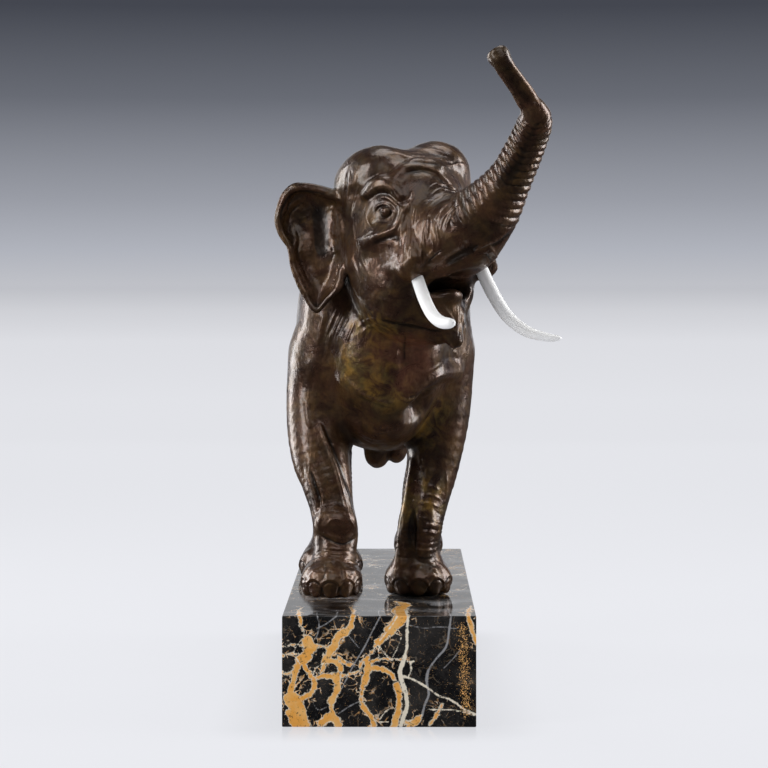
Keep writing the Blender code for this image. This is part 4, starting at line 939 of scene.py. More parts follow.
def ear(root, side, sweep, tuck):
    """A thick leaf that stands out from the head: a rolled rim around a hollow, its tip tucked in."""
    outline = np.float32(smooth_path([*EAR_OUTLINE, EAR_OUTLINE[0]], 4)[:-1])
    outline[:, 0] -= tuck * (outline[:, 1].max() - outline[:, 1])
    sweep = np.radians(sweep)
    out = np.float32([side * np.cos(sweep), np.sin(sweep)])
    back = np.float32([-out[1], out[0]]) * np.float32(side)
    middle_height = outline[:, 1].mean()

    def distance(x, y, z):
        across = (x - root[0]) * out[0] + (y - root[1]) * out[1]
        depth = (x - root[0]) * back[0] + (y - root[1]) * back[1] - EAR_LEAN * (z - middle_height)
        edge = outline_distance(outline, across, z + 0 * across)
        sunk = EAR_HOLLOW * np.sin(np.clip(-edge / EAR_SLOPE, 0, 1) * np.pi / 2)
        sheet = soft_cut(np.abs(depth - sunk) - EAR_THICKNESS / 2, -edge, EAR_SOFTNESS)
        raised = np.clip((z - middle_height) / EAR_ROLL, 0, 1)
        thick = EAR_RIM[0] + (EAR_RIM[1] - EAR_RIM[0]) * raised
        rim = np.hypot(edge + thick, depth) - thick
        return soft_join(sheet, rim, EAR_SOFTNESS)

    reach = np.array([EAR_REACH, EAR_REACH, 0])
    low = np.array([root[0], root[1], outline[:, 1].min()]) - reach
    high = np.array([root[0], root[1], outline[:, 1].max()]) + reach
    return Mass(low, high, EAR_BLEND, distance)


def group(masses, blend):
    """Several masses joined with each other first, and then with the rest as one form."""

    def distance(x, y, z):
        whole = masses[0].distance(x, y, z)
        for mass in masses[1:]:
            whole = mass.join(whole, mass.distance(x, y, z), mass.blend)
        return whole

    low = np.min([mass.low for mass in masses], axis=0)
    high = np.max([mass.high for mass in masses], axis=0)
    return Mass(low, high, blend, distance)


def head():
    """Skull, cheeks, jaw, tusk sheaths and trunk, with the mouth cut between lip and jaw."""
    masses = [ellipsoid(on_head(place), radii, blend, HEAD_AXES) for place, radii, blend in HEAD.values()]
    for stations, blend in HEAD_LIMBS.values():
        placed = [(*on_head(station[:3]), station[3]) for station in stations]
        masses.append(limb(smooth_path(placed), blend))
    masses.append(limb(smooth_path(TRUNK), TRUNK_BLEND))
    masses += face(np.array([1, 1, 1]))
    masses += face(np.array([1, -1, 1]))
    place, radii, blend = MOUTH
    masses.append(ellipsoid(on_head(place), radii, blend, HEAD_AXES, soft_cut))
    place, radii, blend = TONGUE
    masses.append(ellipsoid(on_head(place), radii, blend, HEAD_AXES))
    return group(masses, HEAD_BLEND)


def face(mirror):
    """Hollows, ridges and eyeball of one side of the face."""
    masses = []
    for place, radii, blend in FACE_HOLLOWS.values():
        masses.append(ellipsoid(on_head(mirror * place), radii, blend, HEAD_AXES, soft_cut))
    for stations, blend in FACE_RIDGES.values():
        placed = [(*on_head(mirror * station[:3]), station[3]) for station in stations]
        masses.append(limb(smooth_path(placed), blend))
    place, radii, blend = EYEBALL
    masses.append(ellipsoid(on_head(mirror * place), radii, blend, HEAD_AXES))
    return masses


def trunk_end():
    """The cuts at the end of the trunk: flat across, with two round nostrils."""
    tip, before = np.array(TRUNK[-1][:3]), np.array(TRUNK[-2][:3])
    along = (tip - before) / np.linalg.norm(tip - before)
    across = np.cross(along, (0, 1, 0))
    across /= np.linalg.norm(across)
    axes = np.array([along, across, np.cross(along, across)])
    middle = tip + (TRUNK_END + TRUNK_CUT[0]) * along
    holes = [ellipsoid(middle, TRUNK_CUT, TRUNK_CUT_EDGE, axes, soft_cut)]
    for side in (-1, 1):
        middle = tip + side * NOSTRIL_SPREAD * across
        ends = [(*(middle + reach * along), NOSTRIL_RADIUS) for reach in NOSTRIL_SPAN]
        holes.append(limb(np.array(ends), NOSTRIL_EDGE, soft_cut))
    return holes


def elephant_masses():
    """Every form of the casting, in the order in which they are joined."""
    masses = [ellipsoid(*mass) for mass in BODY.values()]
    masses += [limb(smooth_path(stations), blend) for stations, blend in LIMBS.values()]
    masses += [ellipsoid(*mass) for mass in JOINTS.values()]
    masses += [ellipsoid(*mass, join=soft_cut) for mass in BODY_HOLLOWS.values()]
    masses += [limb(smooth_path(stations), blend) for stations, blend in BODY_RIDGES.values()]
    for size in FEET.values():
        masses += foot(*size)
    masses.append(head())
    masses += trunk_end()
    masses += [ear(*place) for place in EAR_ROOTS.values()]
    return masses


def distance_at(masses, points):
    """How far each point is from the common surface of the masses, negative inside."""
    value = np.full(len(points), FAR, dtype=np.float32)
    for mass in masses:
        near = np.flatnonzero(in_box(points, mass.low, mass.high))
        if len(near):
            value[near] = mass.join(value[near], mass.distance(*points[near].T), mass.blend)
    return value


def refine(index, parts):
    """The finer grid nodes around each coarse one, as whole numbers."""
    offsets = np.indices((parts, parts, parts)).reshape(3, -1).T
    return (index[:, None, :] * parts + offsets[None]).reshape(-1, 3)


def fine_surface(masses):
    """The common surface on a fine grid that is only worked out near the surface itself."""
    low = np.min([mass.low for mass in masses], axis=0)
    high = np.max([mass.high for mass in masses], axis=0)
    step = FINE_STEP * np.prod(GRID_PARTS)
    index = np.indices(np.ceil((high - low) / step).astype(int)).reshape(3, -1).T
    value = distance_at(masses, (low + step * (index + 0.5)).astype(np.float32))
    field = value.reshape(index.max(axis=0) + 1)
    for parts in GRID_PARTS:
        near = index[np.abs(value) < BAND * step]
        field = np.where(field > 0, FAR, -FAR).astype(np.float32)
        for axis in range(3):
            field = field.repeat(parts, axis)
        step /= parts
        index = refine(near, parts)
        value = distance_at(masses, (low + step * (index + 0.5)).astype(np.float32))
        field[tuple(index.T)] = value
    grid = openvdb.FloatGrid(FAR)
    grid.copyFromArray(field)
    grid.transform = openvdb.createLinearTransform(voxelSize=step)
    points, _, quads = grid.convertToPolygons(isovalue=0.0, adaptivity=0.0)
    return points + low + step / 2, quads


def places_of(mesh):
    rows = np.zeros(len(mesh.vertices) * 3, dtype=np.float32)
    mesh.vertices.foreach_get("co", rows)
    return rows.reshape(-1, 3)


def normals_of(mesh):
    rows = np.zeros(len(mesh.vertices) * 3, dtype=np.float32)
    mesh.vertex_normals.foreach_get("vector", rows)
    return rows.reshape(-1, 3)


def smooth_step(value):
    value = np.clip(value, 0, 1)
    return value * value * (3 - 2 * value)


def wander(points, scale, seed):
    """A smooth pattern without a direction, from -1 to 1: sums of tilted waves bent by each other."""
    turns = np.array([[0.8, 0.5, 0.3], [-0.4, 0.9, 0.2], [0.3, -0.3, 0.9], [0.6, 0.2, -0.8]])
    total = np.zeros(len(points))
    bend = np.zeros(len(points))
    for i, turn in enumerate(turns):
        phase = points @ turn * 6.283 / scale * (1 + 0.37 * i) + seed * (i + 1.7)
        bend = np.sin(phase + 1.9 * bend)
        total += bend
    return total / len(turns)


def view_axes():
    tilt, turn = np.radians(90 - VIEW_TILT), np.radians(VIEW_TURN)
    tip = np.array([[1, 0, 0], [0, np.cos(tilt), -np.sin(tilt)], [0, np.sin(tilt), np.cos(tilt)]])
    spin = np.array([[np.cos(turn), -np.sin(turn), 0], [np.sin(turn), np.cos(turn), 0], [0, 0, 1]])
    return spin @ tip


def in_view(points):
    """Where points stand in the front view, in steps, and how far away they are."""
    seen = (points - np.array(VIEW_POINT)) @ view_axes()
    scale = VIEW_LENS / VIEW_FILM * VIEW_STEPS / -seen[:, 2]
    middle = VIEW_STEPS * (0.5 + VIEW_SHIFT)
    return np.stack([VIEW_STEPS / 2 + scale * seen[:, 0], middle - scale * seen[:, 1]], 1), -seen[:, 2]


def frontmost(place, away):
    """Which points the front view sees, by the nearest one in each small square of it."""
    cell = (place / VIEW_CELL).astype(int)
    cell = cell[:, 0] * VIEW_STEPS + cell[:, 1]
    nearest = np.full(cell.max() + 1, np.inf)
    np.minimum.at(nearest, cell, away)
    return away < nearest[cell] + VIEW_DEPTH


def along_path(places, path):
    """Distance of places from a path, and how far along it they are."""
    gap = np.full(len(places), np.inf)
    along = np.zeros(len(places))
    travelled = 0.0
    for start, stop in zip(path[:-1], path[1:]):
        run = stop - start
        length = np.sqrt(run @ run)
        share = np.clip(((places - start) @ run) / length**2, 0, 1)
        off = np.linalg.norm(places - start - share[:, None] * run, axis=1)
        closer = off < gap
        gap[closer] = off[closer]
        along[closer] = travelled + share[closer] * length
        travelled += length
    return gap, along, travelled


def press_lines(height, groups, place, allowed):
    """Pushes each line of relief into the points that it passes, fading towards its ends."""
    for name, lines in groups.items():
        low, high = LINE_REGIONS.get(name, HEAD_REGION)
        fits = np.flatnonzero(allowed(np.array(low), np.array(high)))
        for rise, width, spots in lines:
            path = smooth_path(spots, 4)
            near = fits[near_path(place[fits], path, LINE_REACH * width)]
            gap, along, length = along_path(place[near], path)
            ends = smooth_step(np.minimum(along, length - along) / (LINE_FADE * length) + LINE_START)
            height[near] += 0.001 * rise * ends * np.exp(-((gap / width) ** 2))


def mirror_on_head(points):
    """The points seen in a mirror that stands along the head's middle."""
    across = (points - np.array(HEAD_MIDDLE) - (0, 0, PLINTH_HEIGHT)) @ HEAD_AXES[1]
    return across, points - 2 * across[:, None] * HEAD_AXES[1]


def rib_relief(points):
    """Rings round the trunk with a shallow valley facing the front, and a channel in the thin end."""
    path = path_from_floor(TRUNK, 6)
    centres, radii = path[:, :3], path[:, 3]
    lengths = np.linalg.norm(np.diff(centres, axis=0), axis=1)
    stops = np.concatenate([[0], np.cumsum(lengths)])
    relief = np.zeros(len(points))
    near = near_path(points, centres, TRUNK_REACH)
    gap, along, length = along_path(points[near], centres)
    radius = np.interp(along, stops, radii)
    keep = gap < TRUNK_SKIN * radius
    near, along, gap, radius = near[keep], along[keep], gap[keep], radius[keep]

    def centre_at(travelled):
        return np.stack([np.interp(travelled, stops, centres[:, i]) for i in range(3)], 1)

    centre = centre_at(along)
    axis = unit(centre_at(along + RIB_PROBE) - centre_at(along - RIB_PROBE))
    front = np.array(VIEW_POINT) - centre
    front = unit(front - (front * axis).sum(axis=1)[:, None] * axis)
    side = np.cross(axis, front)
    out = points[near] - centre
    away = np.linalg.norm(out, axis=1)
    facing = (out * front).sum(axis=1) / away
    across = (out * side).sum(axis=1) / away
    pitch = np.interp(along, RIB_SPAN, RIB_PITCH)
    bent = along + RIB_BEND * np.abs(across) + RIB_WANDER * wander(points[near], 0.014, 2.0)
    marks = np.linspace(0, length, RIB_MARKS)
    count = np.cumsum(1 / np.interp(marks, RIB_SPAN, RIB_PITCH)) * (marks[1] - marks[0])
    phase = np.interp(bent, marks, count)
    rib = np.sqrt(np.abs(np.sin(np.pi * phase))) - RIB_LEVEL
    span = smooth_step((along - RIB_SPAN[0]) / RIB_FADE) * smooth_step((RIB_SPAN[1] - along) / RIB_FADE * 2)
    valley = 1 - VALLEY_SHARE * (facing > 0) * np.exp(-((across / RIB_VALLEY) ** 2))
    under = smooth_step((along - UNDERSIDE_START) / RIB_FADE + 0.9 * smooth_step((-across - 0.1) / 0.3))
    growth = np.clip(pitch / RIB_COMMON_PITCH, *RIB_GROWTH)
    relief[near] += RIB_HEIGHT * rib * span * valley * under * growth
    groove = span * (facing > 0) * np.exp(-((across / RIB_VALLEY) ** 2))
    relief[near] -= STRIP_DEPTH * groove * smooth_step((along - STRIP_START) / STRIP_FADE)
    opening = smooth_step((along - CHANNEL_SPAN[0]) / CHANNEL_FADE)
    closing = smooth_step((CHANNEL_SPAN[1] - along) / CHANNEL_FADE)
    channel = smooth_step((facing + 0.4) / 0.6) * (1.6 * (facing > 0) * np.exp(-((across / 0.75) ** 4)) - 1.0)
    relief[near] -= CHANNEL_DEPTH * (opening * closing) * channel
    return relief


def nail_relief(points):
    """A groove and a raised rim round each nail."""
    relief = np.zeros(len(points))
    for *pad, _, sole in FEET.values():
        for out, rim in nail_places(*pad):
            centre = np.array([*(rim - out * NAIL_INSET), sole + NAIL_HEIGHT + PLINTH_HEIGHT])
            away = points - centre
            near = np.flatnonzero((np.abs(away) < NAIL_REACH).all(axis=1))
            away = away[near]
            outward = away[:, 0] * out[0] + away[:, 1] * out[1]
            across = away[:, 0] * -out[1] + away[:, 1] * out[0]
            ring = np.hypot(across / NAIL_OUTLINE[0], away[:, 2] / NAIL_OUTLINE[1])
            front = smooth_step((outward + 0.005) / NAIL_FADE) * smooth_step((away[:, 2] + 0.003) / NAIL_FADE)
            for rise, (middle, width) in ((-NAIL_GROOVE, GROOVE_RING), (NAIL_RIM, RIM_RING)):
                relief[near] += rise * front * np.exp(-(((ring - middle) / width) ** 2))
    return relief


def crease_relief(points):
    """Soft rings of loose skin where the legs bend, all round them."""
    relief = np.zeros(len(points))
    for name, start in CREASED_LEGS.items():
        path = path_from_floor(LIMBS[name][0], 4)
        near = near_path(points, path[:, :3], path[:, 3].max() + CREASE_MARGIN)
        gap, along, length = along_path(points[near], path[:, :3])
        near, along = near[gap < CREASE_REACH], along[gap < CREASE_REACH]
        bent = along + CREASE_WANDER * wander(points[near], 0.03, 5.0)
        rings = np.sin(2 * np.pi * bent / CREASE_PITCH)
        rings += SECOND_CREASES * np.sin(2 * np.pi * bent / CREASE_PITCH * SECOND_PITCH + 1.0)
        share = along / length
        gathered = smooth_step((share - start) / CREASE_FADES[0])
        gathered = gathered * smooth_step((1.0 - share) / CREASE_FADES[1])
        patchy = 0.5 + 0.5 * wander(points[near], 0.05, 9.0)
        relief[near] += CREASE_HEIGHT * rings * gathered * patchy
    return relief


def skin_relief(points, normals):
    """How far each point of the casting moves out along its normal."""
    place, away = in_view(points)
    sight = unit(points - np.array(VIEW_POINT))
    facing = -(normals * sight).sum(axis=1)
    shown = frontmost(place, away) & (facing > LEAST_FACING)
    height = np.zeros(len(points))

    def within(low, high):
        return shown & in_box(points, low, high)

    press_lines(height, FRONT_LINES, place, within)
    press_lines(height, FACE_LINES, place, within)
    across, twins = mirror_on_head(points)
    twin_place = in_view(twins)[0]
    beyond = (across < -PAST_MIDDLE) & (normals @ HEAD_AXES[1] < -0.1)

    def within_twins(low, high):
        return beyond & in_box(twins, low, high)

    press_lines(height, FACE_LINES, twin_place, within_twins)
    height += rib_relief(points) + nail_relief(points) + crease_relief(points)
    height += sum(rise * wander(points, size, seed) for rise, size, seed in SKIN_WAVES)
    return height


def mesh_from(name, points, quads):
    """A mesh from rows of points and of four corner numbers."""
    mesh = bpy.data.meshes.new(name)
    corners = quads.ravel().astype(np.int32)
    mesh.vertices.add(len(points))
    mesh.vertices.foreach_set("co", points.astype(np.float32).ravel())
    mesh.loops.add(len(corners))
    mesh.loops.foreach_set("vertex_index", corners)
    mesh.polygons.add(len(quads))
    mesh.polygons.foreach_set("loop_start", np.arange(0, len(corners), 4, dtype=np.int32))
    mesh.update(calc_edges=True)
    mesh.validate()
    return mesh


def new_object(name, data):
    """A new object in the scene."""
    made = bpy.data.objects.new(name, data)
    bpy.context.scene.collection.objects.link(made)
    return made


def give_attribute(mesh, name, values):
    made = mesh.attributes.new(name, "FLOAT", "POINT")
    made.data.foreach_set("value", values.astype(np.float32))


def region_of(points):
    """Which piece of the casting a place belongs to: head, forequarters or hindquarters."""
    head = (points[:, 2] > HEAD_PLANES[0]) & (points[:, 1] < HEAD_PLANES[1])
    return np.where(head, 0, np.where(points[:, 1] < HIND_PLANE, 1, 2))


def thinned(piece, keep):
    """The piece's mesh with fewer triangles where it is smooth, the kept points left as they are."""
    group = piece.vertex_groups.new(name="free")
    group.add(np.flatnonzero(~keep).tolist(), 1.0, "REPLACE")
    fewer = piece.modifiers.new("fewer triangles", "DECIMATE")
    fewer.ratio = min(1.0, SKIN_TRIANGLES / (2 * len(piece.data.polygons)))
    fewer.use_collapse_triangulate = True
    fewer.vertex_group = "free"
    mesh = bpy.data.meshes.new_from_object(piece.evaluated_get(bpy.context.evaluated_depsgraph_get()))
    piece.modifiers.clear()
    piece.vertex_groups.clear()
    return mesh


def build_skin():
    """The fine casting: the common surface with its relief, in pieces that meet point to point."""
    masses = elephant_masses()
    points, quads = fine_surface(masses)
    points = points + (0, 0, PLINTH_HEIGHT)
    whole = mesh_from("casting", points, quads)
    height = skin_relief(points, normals_of(whole))
    moved = points + normals_of(whole) * height[:, None]
    moved[:, 2] = np.maximum(moved[:, 2], PLINTH_HEIGHT + FIT_GAP)
    whole.vertices.foreach_set("co", moved.astype(np.float32).ravel())
    whole.update()
    normals = normals_of(whole)
    region = region_of(moved[quads].mean(axis=1))
    pieces = []
    shared = np.zeros(len(moved), dtype=int)
    for number in range(len(CASTING_PIECES)):
        shared[np.unique(quads[region == number])] += 1
    for number, name in enumerate(CASTING_PIECES):
        used, corners = np.unique(quads[region == number], return_inverse=True)
        mesh = mesh_from(name, moved[used], corners.reshape(-1, 4))
        give_attribute(mesh, "relief", height[used] * 1000)
        piece = new_object(name, mesh)
        border = shared[used] > 1
        piece.data = thinned(piece, border)
        piece.data.name = name
        finish_skin(piece.data, masses, moved[used[border]], normals[used[border]])
        pieces.append(piece)
    return pieces


def finish_skin(mesh, masses, border, border_normals):
    """Smooth shading that runs on across the border, and how hollow each place is."""
    mesh.shade_smooth()
    points = places_of(mesh)
    normals = normals_of(mesh)
    hollow = np.zeros(len(points))
    for reach in HOLLOW_REACHES:
        probe = points + normals * reach - np.array((0, 0, PLINTH_HEIGHT), dtype=np.float32)
        open_way = distance_at(masses, probe.astype(np.float32)) / reach
        hollow += np.clip(1 - open_way, 0, 1) / len(HOLLOW_REACHES)
    give_attribute(mesh, "hollow", hollow)
    tree = search_tree(points)
    for place, normal in zip(border, border_normals):
        normals[tree.find(place)[1]] = normal
    mesh.normals_split_custom_set_from_vertices(normals.tolist())


def dress(piece, finish, node):
    """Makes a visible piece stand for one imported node."""
    piece.data.materials.clear()
    piece.data.materials.append(finish)
    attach(piece, "root")
    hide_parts(node)


def feed(tree, made, inputs):
    """Gives a shader node its inputs, as links or as plain values, colours with three numbers."""
    for name, value in inputs.items():
        socket = made.inputs[name]
        if isinstance(value, bpy.types.NodeSocket):
            tree.links.new(value, socket)
        elif socket.type == "RGBA":
            socket.default_value = (*value, 1)
        else:
            socket.default_value = value
    return made


def node(tree, kind, inputs=None, **settings):
    """A shader node with its settings and its inputs."""
    made = tree.nodes.new(kind)
    for name, value in settings.items():
        setattr(made, name, value)
    return feed(tree, made, inputs or {})


def mix(tree, share, first, second, blend="MIX"):
    """Two colours mixed by a share."""
    inputs = {0: share, 6: first, 7: second}
    return node(tree, "ShaderNodeMix", inputs, data_type="RGBA", blend_type=blend).outputs[2]


def maths(tree, operation, first, second=0.0, clamp=False):
    made = node(tree, "ShaderNodeMath", {0: first, 1: second}, operation=operation, use_clamp=clamp)
    return made.outputs[0]


def times(tree, first, second, clamp=False):
    return maths(tree, "MULTIPLY", first, second, clamp)


def plus(tree, first, second):
    return maths(tree, "ADD", first, second)


def vectors(tree, operation, first, second):
    return node(tree, "ShaderNodeVectorMath", {0: first, 1: second}, operation=operation)


def bumped(tree, height, strength, distance):
    """The surface's direction with small bumps in it."""
    inputs = {"Height": height, "Strength": strength, "Distance": distance}
    return node(tree, "ShaderNodeBump", inputs).outputs[0]


def spread(tree, value, low, high, start=0.0, end=1.0):
    """A value moved from one range to another, and held inside it."""
    inputs = {"Value": value, "From Min": low, "From Max": high, "To Min": start, "To Max": end}
    return node(tree, "ShaderNodeMapRange", inputs, interpolation_type="SMOOTHSTEP").outputs[0]


def noise(tree, place, scale, detail=3.0, rough=0.55, bend=0.0):
    inputs = {"Vector": place, "Scale": scale, "Detail": detail, "Roughness": rough, "Distortion": bend}
    return node(tree, "ShaderNodeTexNoise", inputs).outputs[0]


def stretched(tree, place, scale):
    return node(tree, "ShaderNodeMapping", {"Vector": place, "Scale": scale}).outputs[0]


def new_material(name):
    made = bpy.data.materials.new(name)
    made.use_nodes = True
    tree = made.node_tree
    place = node(tree, "ShaderNodeTexCoord").outputs["Object"]
    return made, tree, tree.nodes["Principled BSDF"], place


def attribute(tree, name):
    return node(tree, "ShaderNodeAttribute", attribute_name=name).outputs["Fac"]


def near_place(tree, place, middle, radius):
    """One at a place and nought beyond a radius from it."""
    away = vectors(tree, "DISTANCE", place, middle).outputs["Value"]
    return spread(tree, away, 0.35 * radius, radius, 1.0, 0.0)


def bronze_material():
    """Waxed brown patina with olive, ochre and reddish clouds, rubbed on the ridges, and near black in the
    hollows and grooves: blackened patina there, deepened by painted shade.
    """
    made, tree, shader, place = new_material("bronze_patina")
    clouds, drift, grain, golden = (noise(tree, place, *pattern) for pattern in BRONZE_PATTERNS)
    colour = mix(tree, spread(tree, clouds, 0.35, 0.68), CHOCOLATE, CHESTNUT)
    share = 0.0
    for spot in CHEST_GOLD:
        share = maths(tree, "MAXIMUM", share, near_place(tree, place, *spot))
    share = plus(tree, times(tree, share, GOLD_ON_CHEST), GOLD_ELSEWHERE)
    share = times(tree, share, spread(tree, drift, 0.38, 0.66), True)
    colour = mix(tree, share, colour, mix(tree, spread(tree, golden, 0.4, 0.62), OLIVE, OCHRE))
    red = times(tree, near_place(tree, place, *RED_PLACE), spread(tree, clouds, 0.3, 0.6))
    colour = mix(tree, times(tree, red, RED_SHARE), colour, RUSSET)
    relief = attribute(tree, "relief")
    # Painted shade with blackened patina: near black where other surfaces close in round the skin, and in the
    # relief's grooves
    patina_and_shade = spread(tree, attribute(tree, "hollow"), 0.12, 0.75, 0.0, 0.92)
    sunk = spread(tree, relief, -0.15, -0.75, 0.0, 0.75)
    colour = mix(tree, maths(tree, "MAXIMUM", patina_and_shade, sunk), colour, HOLLOW_PATINA_AND_SHADE)
    worn = times(tree, spread(tree, relief, 0.15, 0.9), spread(tree, grain, 0.3, 0.65))
    colour = mix(tree, times(tree, worn, RUBBED_SHARE), colour, RUBBED)
    grainy = mix(tree, spread(tree, grain, 0.3, 0.7), *GRAIN_SHADES)
    rough = spread(tree, drift, 0.3, 0.7, *BRONZE_ROUGHNESS)
    waves = noise(tree, stretched(tree, place, WAVE_STRETCH), *BRONZE_WAVES)
    height = plus(tree, waves, times(tree, grain, GRAIN_HEIGHT))
    feed(tree, shader, {
        "Base Color": mix(tree, GRAIN_SHARE, colour, grainy, "MULTIPLY"),
        "Metallic": BRONZE_METAL,
        "Roughness": plus(tree, rough, times(tree, patina_and_shade, HOLLOW_ROUGHNESS)),
        "Coat Weight": BRONZE_WAX,
        "Coat Roughness": BRONZE_WAX_ROUGHNESS,
        "Normal": bumped(tree, height, 0.5, 0.0012),
    })
    return made


def tusk_material():
    """Smooth white with the faintest unevenness."""
    made, tree, shader, place = new_material("tusk_white_satin")
    cloud, patches, bumps = (noise(tree, place, *pattern) for pattern in TUSK_PATTERNS)
    feed(tree, shader, {
        "Base Color": mix(tree, spread(tree, cloud, 0.3, 0.7), TUSK_PALE, TUSK_SHADE),
        "Roughness": spread(tree, patches, 0.3, 0.7, *TUSK_ROUGHNESS),
        "Normal": bumped(tree, bumps, 0.04, 0.0006),
    })
    return made


def marble_ground(tree, place, cloud, flecks):
    """Black and charcoal clouds with grey flecks, and on the top a painted reflection of the pale wall: grey
    streaks on upward faces only.
    """
    colour = mix(tree, spread(tree, cloud, 0.4, 0.72), MARBLE_BLACK, MARBLE_CHARCOAL)
    colour = mix(tree, times(tree, spread(tree, flecks, 0.58, 0.72), FLECK_SHARE), colour, MARBLE_GREY)
    facing = node(tree, "ShaderNodeNewGeometry").outputs["Normal"]
    upwards = node(tree, "ShaderNodeSeparateXYZ", {0: facing}).outputs["Z"]
    # Painted reflection: grey streaks only where the surface faces upwards, standing in for the pale wall
    # mirrored in the polished top
    streaks = noise(tree, stretched(tree, place, TOP_REFLECTION_STRETCH), *TOP_REFLECTION_PATTERN)
    painted_top_reflection = times(tree, spread(tree, streaks, 0.48, 0.66), spread(tree, upwards, 0.5, 0.9))
    return mix(tree, times(tree, painted_top_reflection, TOP_REFLECTION_SHARE), colour, TOP_REFLECTION_GREY)


def add_cracks(tree, place, bent, flecks, colour):
    """Hair veins between cells, thickest near the gold ones."""
    close = spread(tree, attribute(tree, "gold"), 1.0, 13.0, 1.0, 0.10)
    for scale, width in CRACKS:
        inputs = {"Vector": bent, "Scale": scale}
        cells = node(tree, "ShaderNodeTexVoronoi", inputs, feature="DISTANCE_TO_EDGE")
        here = noise(tree, place, 0.8 * scale, 3.0, 0.6)
        shown = times(tree, spread(tree, here, 0.52, 0.60), close)
        line = times(tree, spread(tree, cells.outputs[0], 0.4 * width, width, 0.95, 0.0), shown)
        tint = mix(tree, spread(tree, flecks, 0.35, 0.65), VEIN_OCHRE, VEIN_CREAM)
        colour = mix(tree, line, colour, tint)
    return colour


def marble_material():
    """Polished black marble with ochre, cream and grey veins and a band of pale specks."""
    made, tree, shader, place = new_material("portoro_polished")
    patterns = (noise(tree, place, *pattern) for pattern in MARBLE_PATTERNS)
    cloud, flecks, ragged, coarse, tint, broken, dots = patterns
    ragged = plus(tree, ragged, -0.5)
    coarse = plus(tree, coarse, -0.5)
    bent = node(tree, "ShaderNodeTexNoise", {"Vector": place, "Scale": 110.0, "Detail": 4.0}).outputs["Color"]
    bent = vectors(tree, "MULTIPLY", bent, (CRACK_BEND,) * 3).outputs[0]
    bent = vectors(tree, "ADD", place, bent).outputs[0]
    colour = marble_ground(tree, place, cloud, flecks)
    colour = add_cracks(tree, place, bent, flecks, colour)
    grey = plus(tree, attribute(tree, "grey"), times(tree, ragged, GREY_RAGGED))
    colour = mix(tree, spread(tree, grey, -0.25, 0.55, 0.75, 0.0), colour, VEIN_GREY)
    wobble = plus(tree, times(tree, ragged, GOLD_RAGGED), times(tree, coarse, GOLD_COARSE))
    gold = plus(tree, attribute(tree, "gold"), wobble)
    tint = mix(tree, spread(tree, tint, 0.35, 0.65), VEIN_OCHRE, VEIN_SAND)
    colour = mix(tree, spread(tree, gold, 0.2, 1.1, 0.85, 0.0), colour, VEIN_CREAM)
    colour = mix(tree, spread(tree, gold, -0.55, 0.3, 1.0, 0.0), colour, tint)
    cut = spread(tree, noise(tree, bent, *CUT_PATTERN), 0.57, 0.64, 0.0, 0.8)
    colour = mix(tree, cut, colour, MARBLE_CHARCOAL)
    cream = plus(tree, attribute(tree, "cream"), times(tree, ragged, CREAM_RAGGED))
    cream = times(tree, spread(tree, cream, -0.3, 0.5, 1.0, 0.0), spread(tree, broken, 0.30, 0.42))
    colour = mix(tree, cream, colour, VEIN_CREAM)
    band = spread(tree, attribute(tree, "specks"), 0.0, 1.0, 0.74, 0.55)
    feed(tree, shader, {
        "Base Color": mix(tree, maths(tree, "GREATER_THAN", dots, band), colour, VEIN_SAND),
        "Specular IOR Level": MARBLE_SPECULAR,
        "Roughness": spread(tree, cloud, 0.3, 0.7, *MARBLE_ROUGHNESS),
        "Normal": bumped(tree, cloud, 0.04, 0.0008),
    })
    return made


def vein_distance(veins, place):
    """Distance to the nearest vein less its half width, in steps of the front view."""
    nearest = np.full(len(place), VEIN_FAR)
    for width, spots in veins:
        path = smooth_path(spots, 3)
        gap = along_path(place, path)[0]
        nearest = np.minimum(nearest, gap - VEIN_WIDTH * width)
    return nearest


def search_tree(points):
    tree = KDTree(len(points))
    for number, place in enumerate(points):
        tree.insert(place, number)
    tree.balance()
    return tree


def cell_distance(points, cell, seed):
    """Distance in steps from points to the walls between cells that fill the block unevenly."""
    dice = np.random.default_rng(seed)
    half = PLINTH_HALVES
    count = int(np.prod(2 * half + 2 * cell) / cell**3 * CELLS_PER_VOLUME)
    tree = search_tree(dice.uniform(-half - cell, half + cell, (count, 3)) + (0, 0, half[2]))
    bent = points + CELL_BEND * cell * np.stack([wander(points, cell, seed + i) for i in range(3)], 1)
    nearest = [tree.find_n(place, 2) for place in bent]
    return np.array([(second[2] - first[2]) / 2 for first, second in nearest]) / STEP_SIZE


def spaced(half, edge, growth):
    """Places along one side of the block: its rounded edge at both ends, and steps that may grow between."""
    turn = np.radians(np.linspace(0, 90, EDGE_STEPS + 1))
    corner = half - edge * (1 - np.sin(turn))
    length = 2 * (half - edge)
    stops = [0.0]
    while stops[-1] < length:
        stops.append(stops[-1] + PLINTH_GRID * min(1 + growth * stops[-1], GRID_GROWTH))
    inner = np.array(stops) * length / stops[-1] - half + edge
    return np.concatenate([-corner[:0:-1], inner, corner[1:]])


def block_points(first, second, axis, sign):
    """One face of the block, its rim drawn in and rounded towards the next faces."""
    a, b = np.meshgrid(first, second, indexing="ij")
    spots = np.insert(np.stack([a, b], -1), axis, sign * PLINTH_HALVES[axis], axis=-1)
    core = np.clip(spots, -PLINTH_HALVES + PLINTH_EDGE, PLINTH_HALVES - PLINTH_EDGE)
    out = spots - core
    reach = np.abs(out).max(axis=-1, keepdims=True)
    length = np.linalg.norm(out, axis=-1, keepdims=True)
    return core + out / length * reach


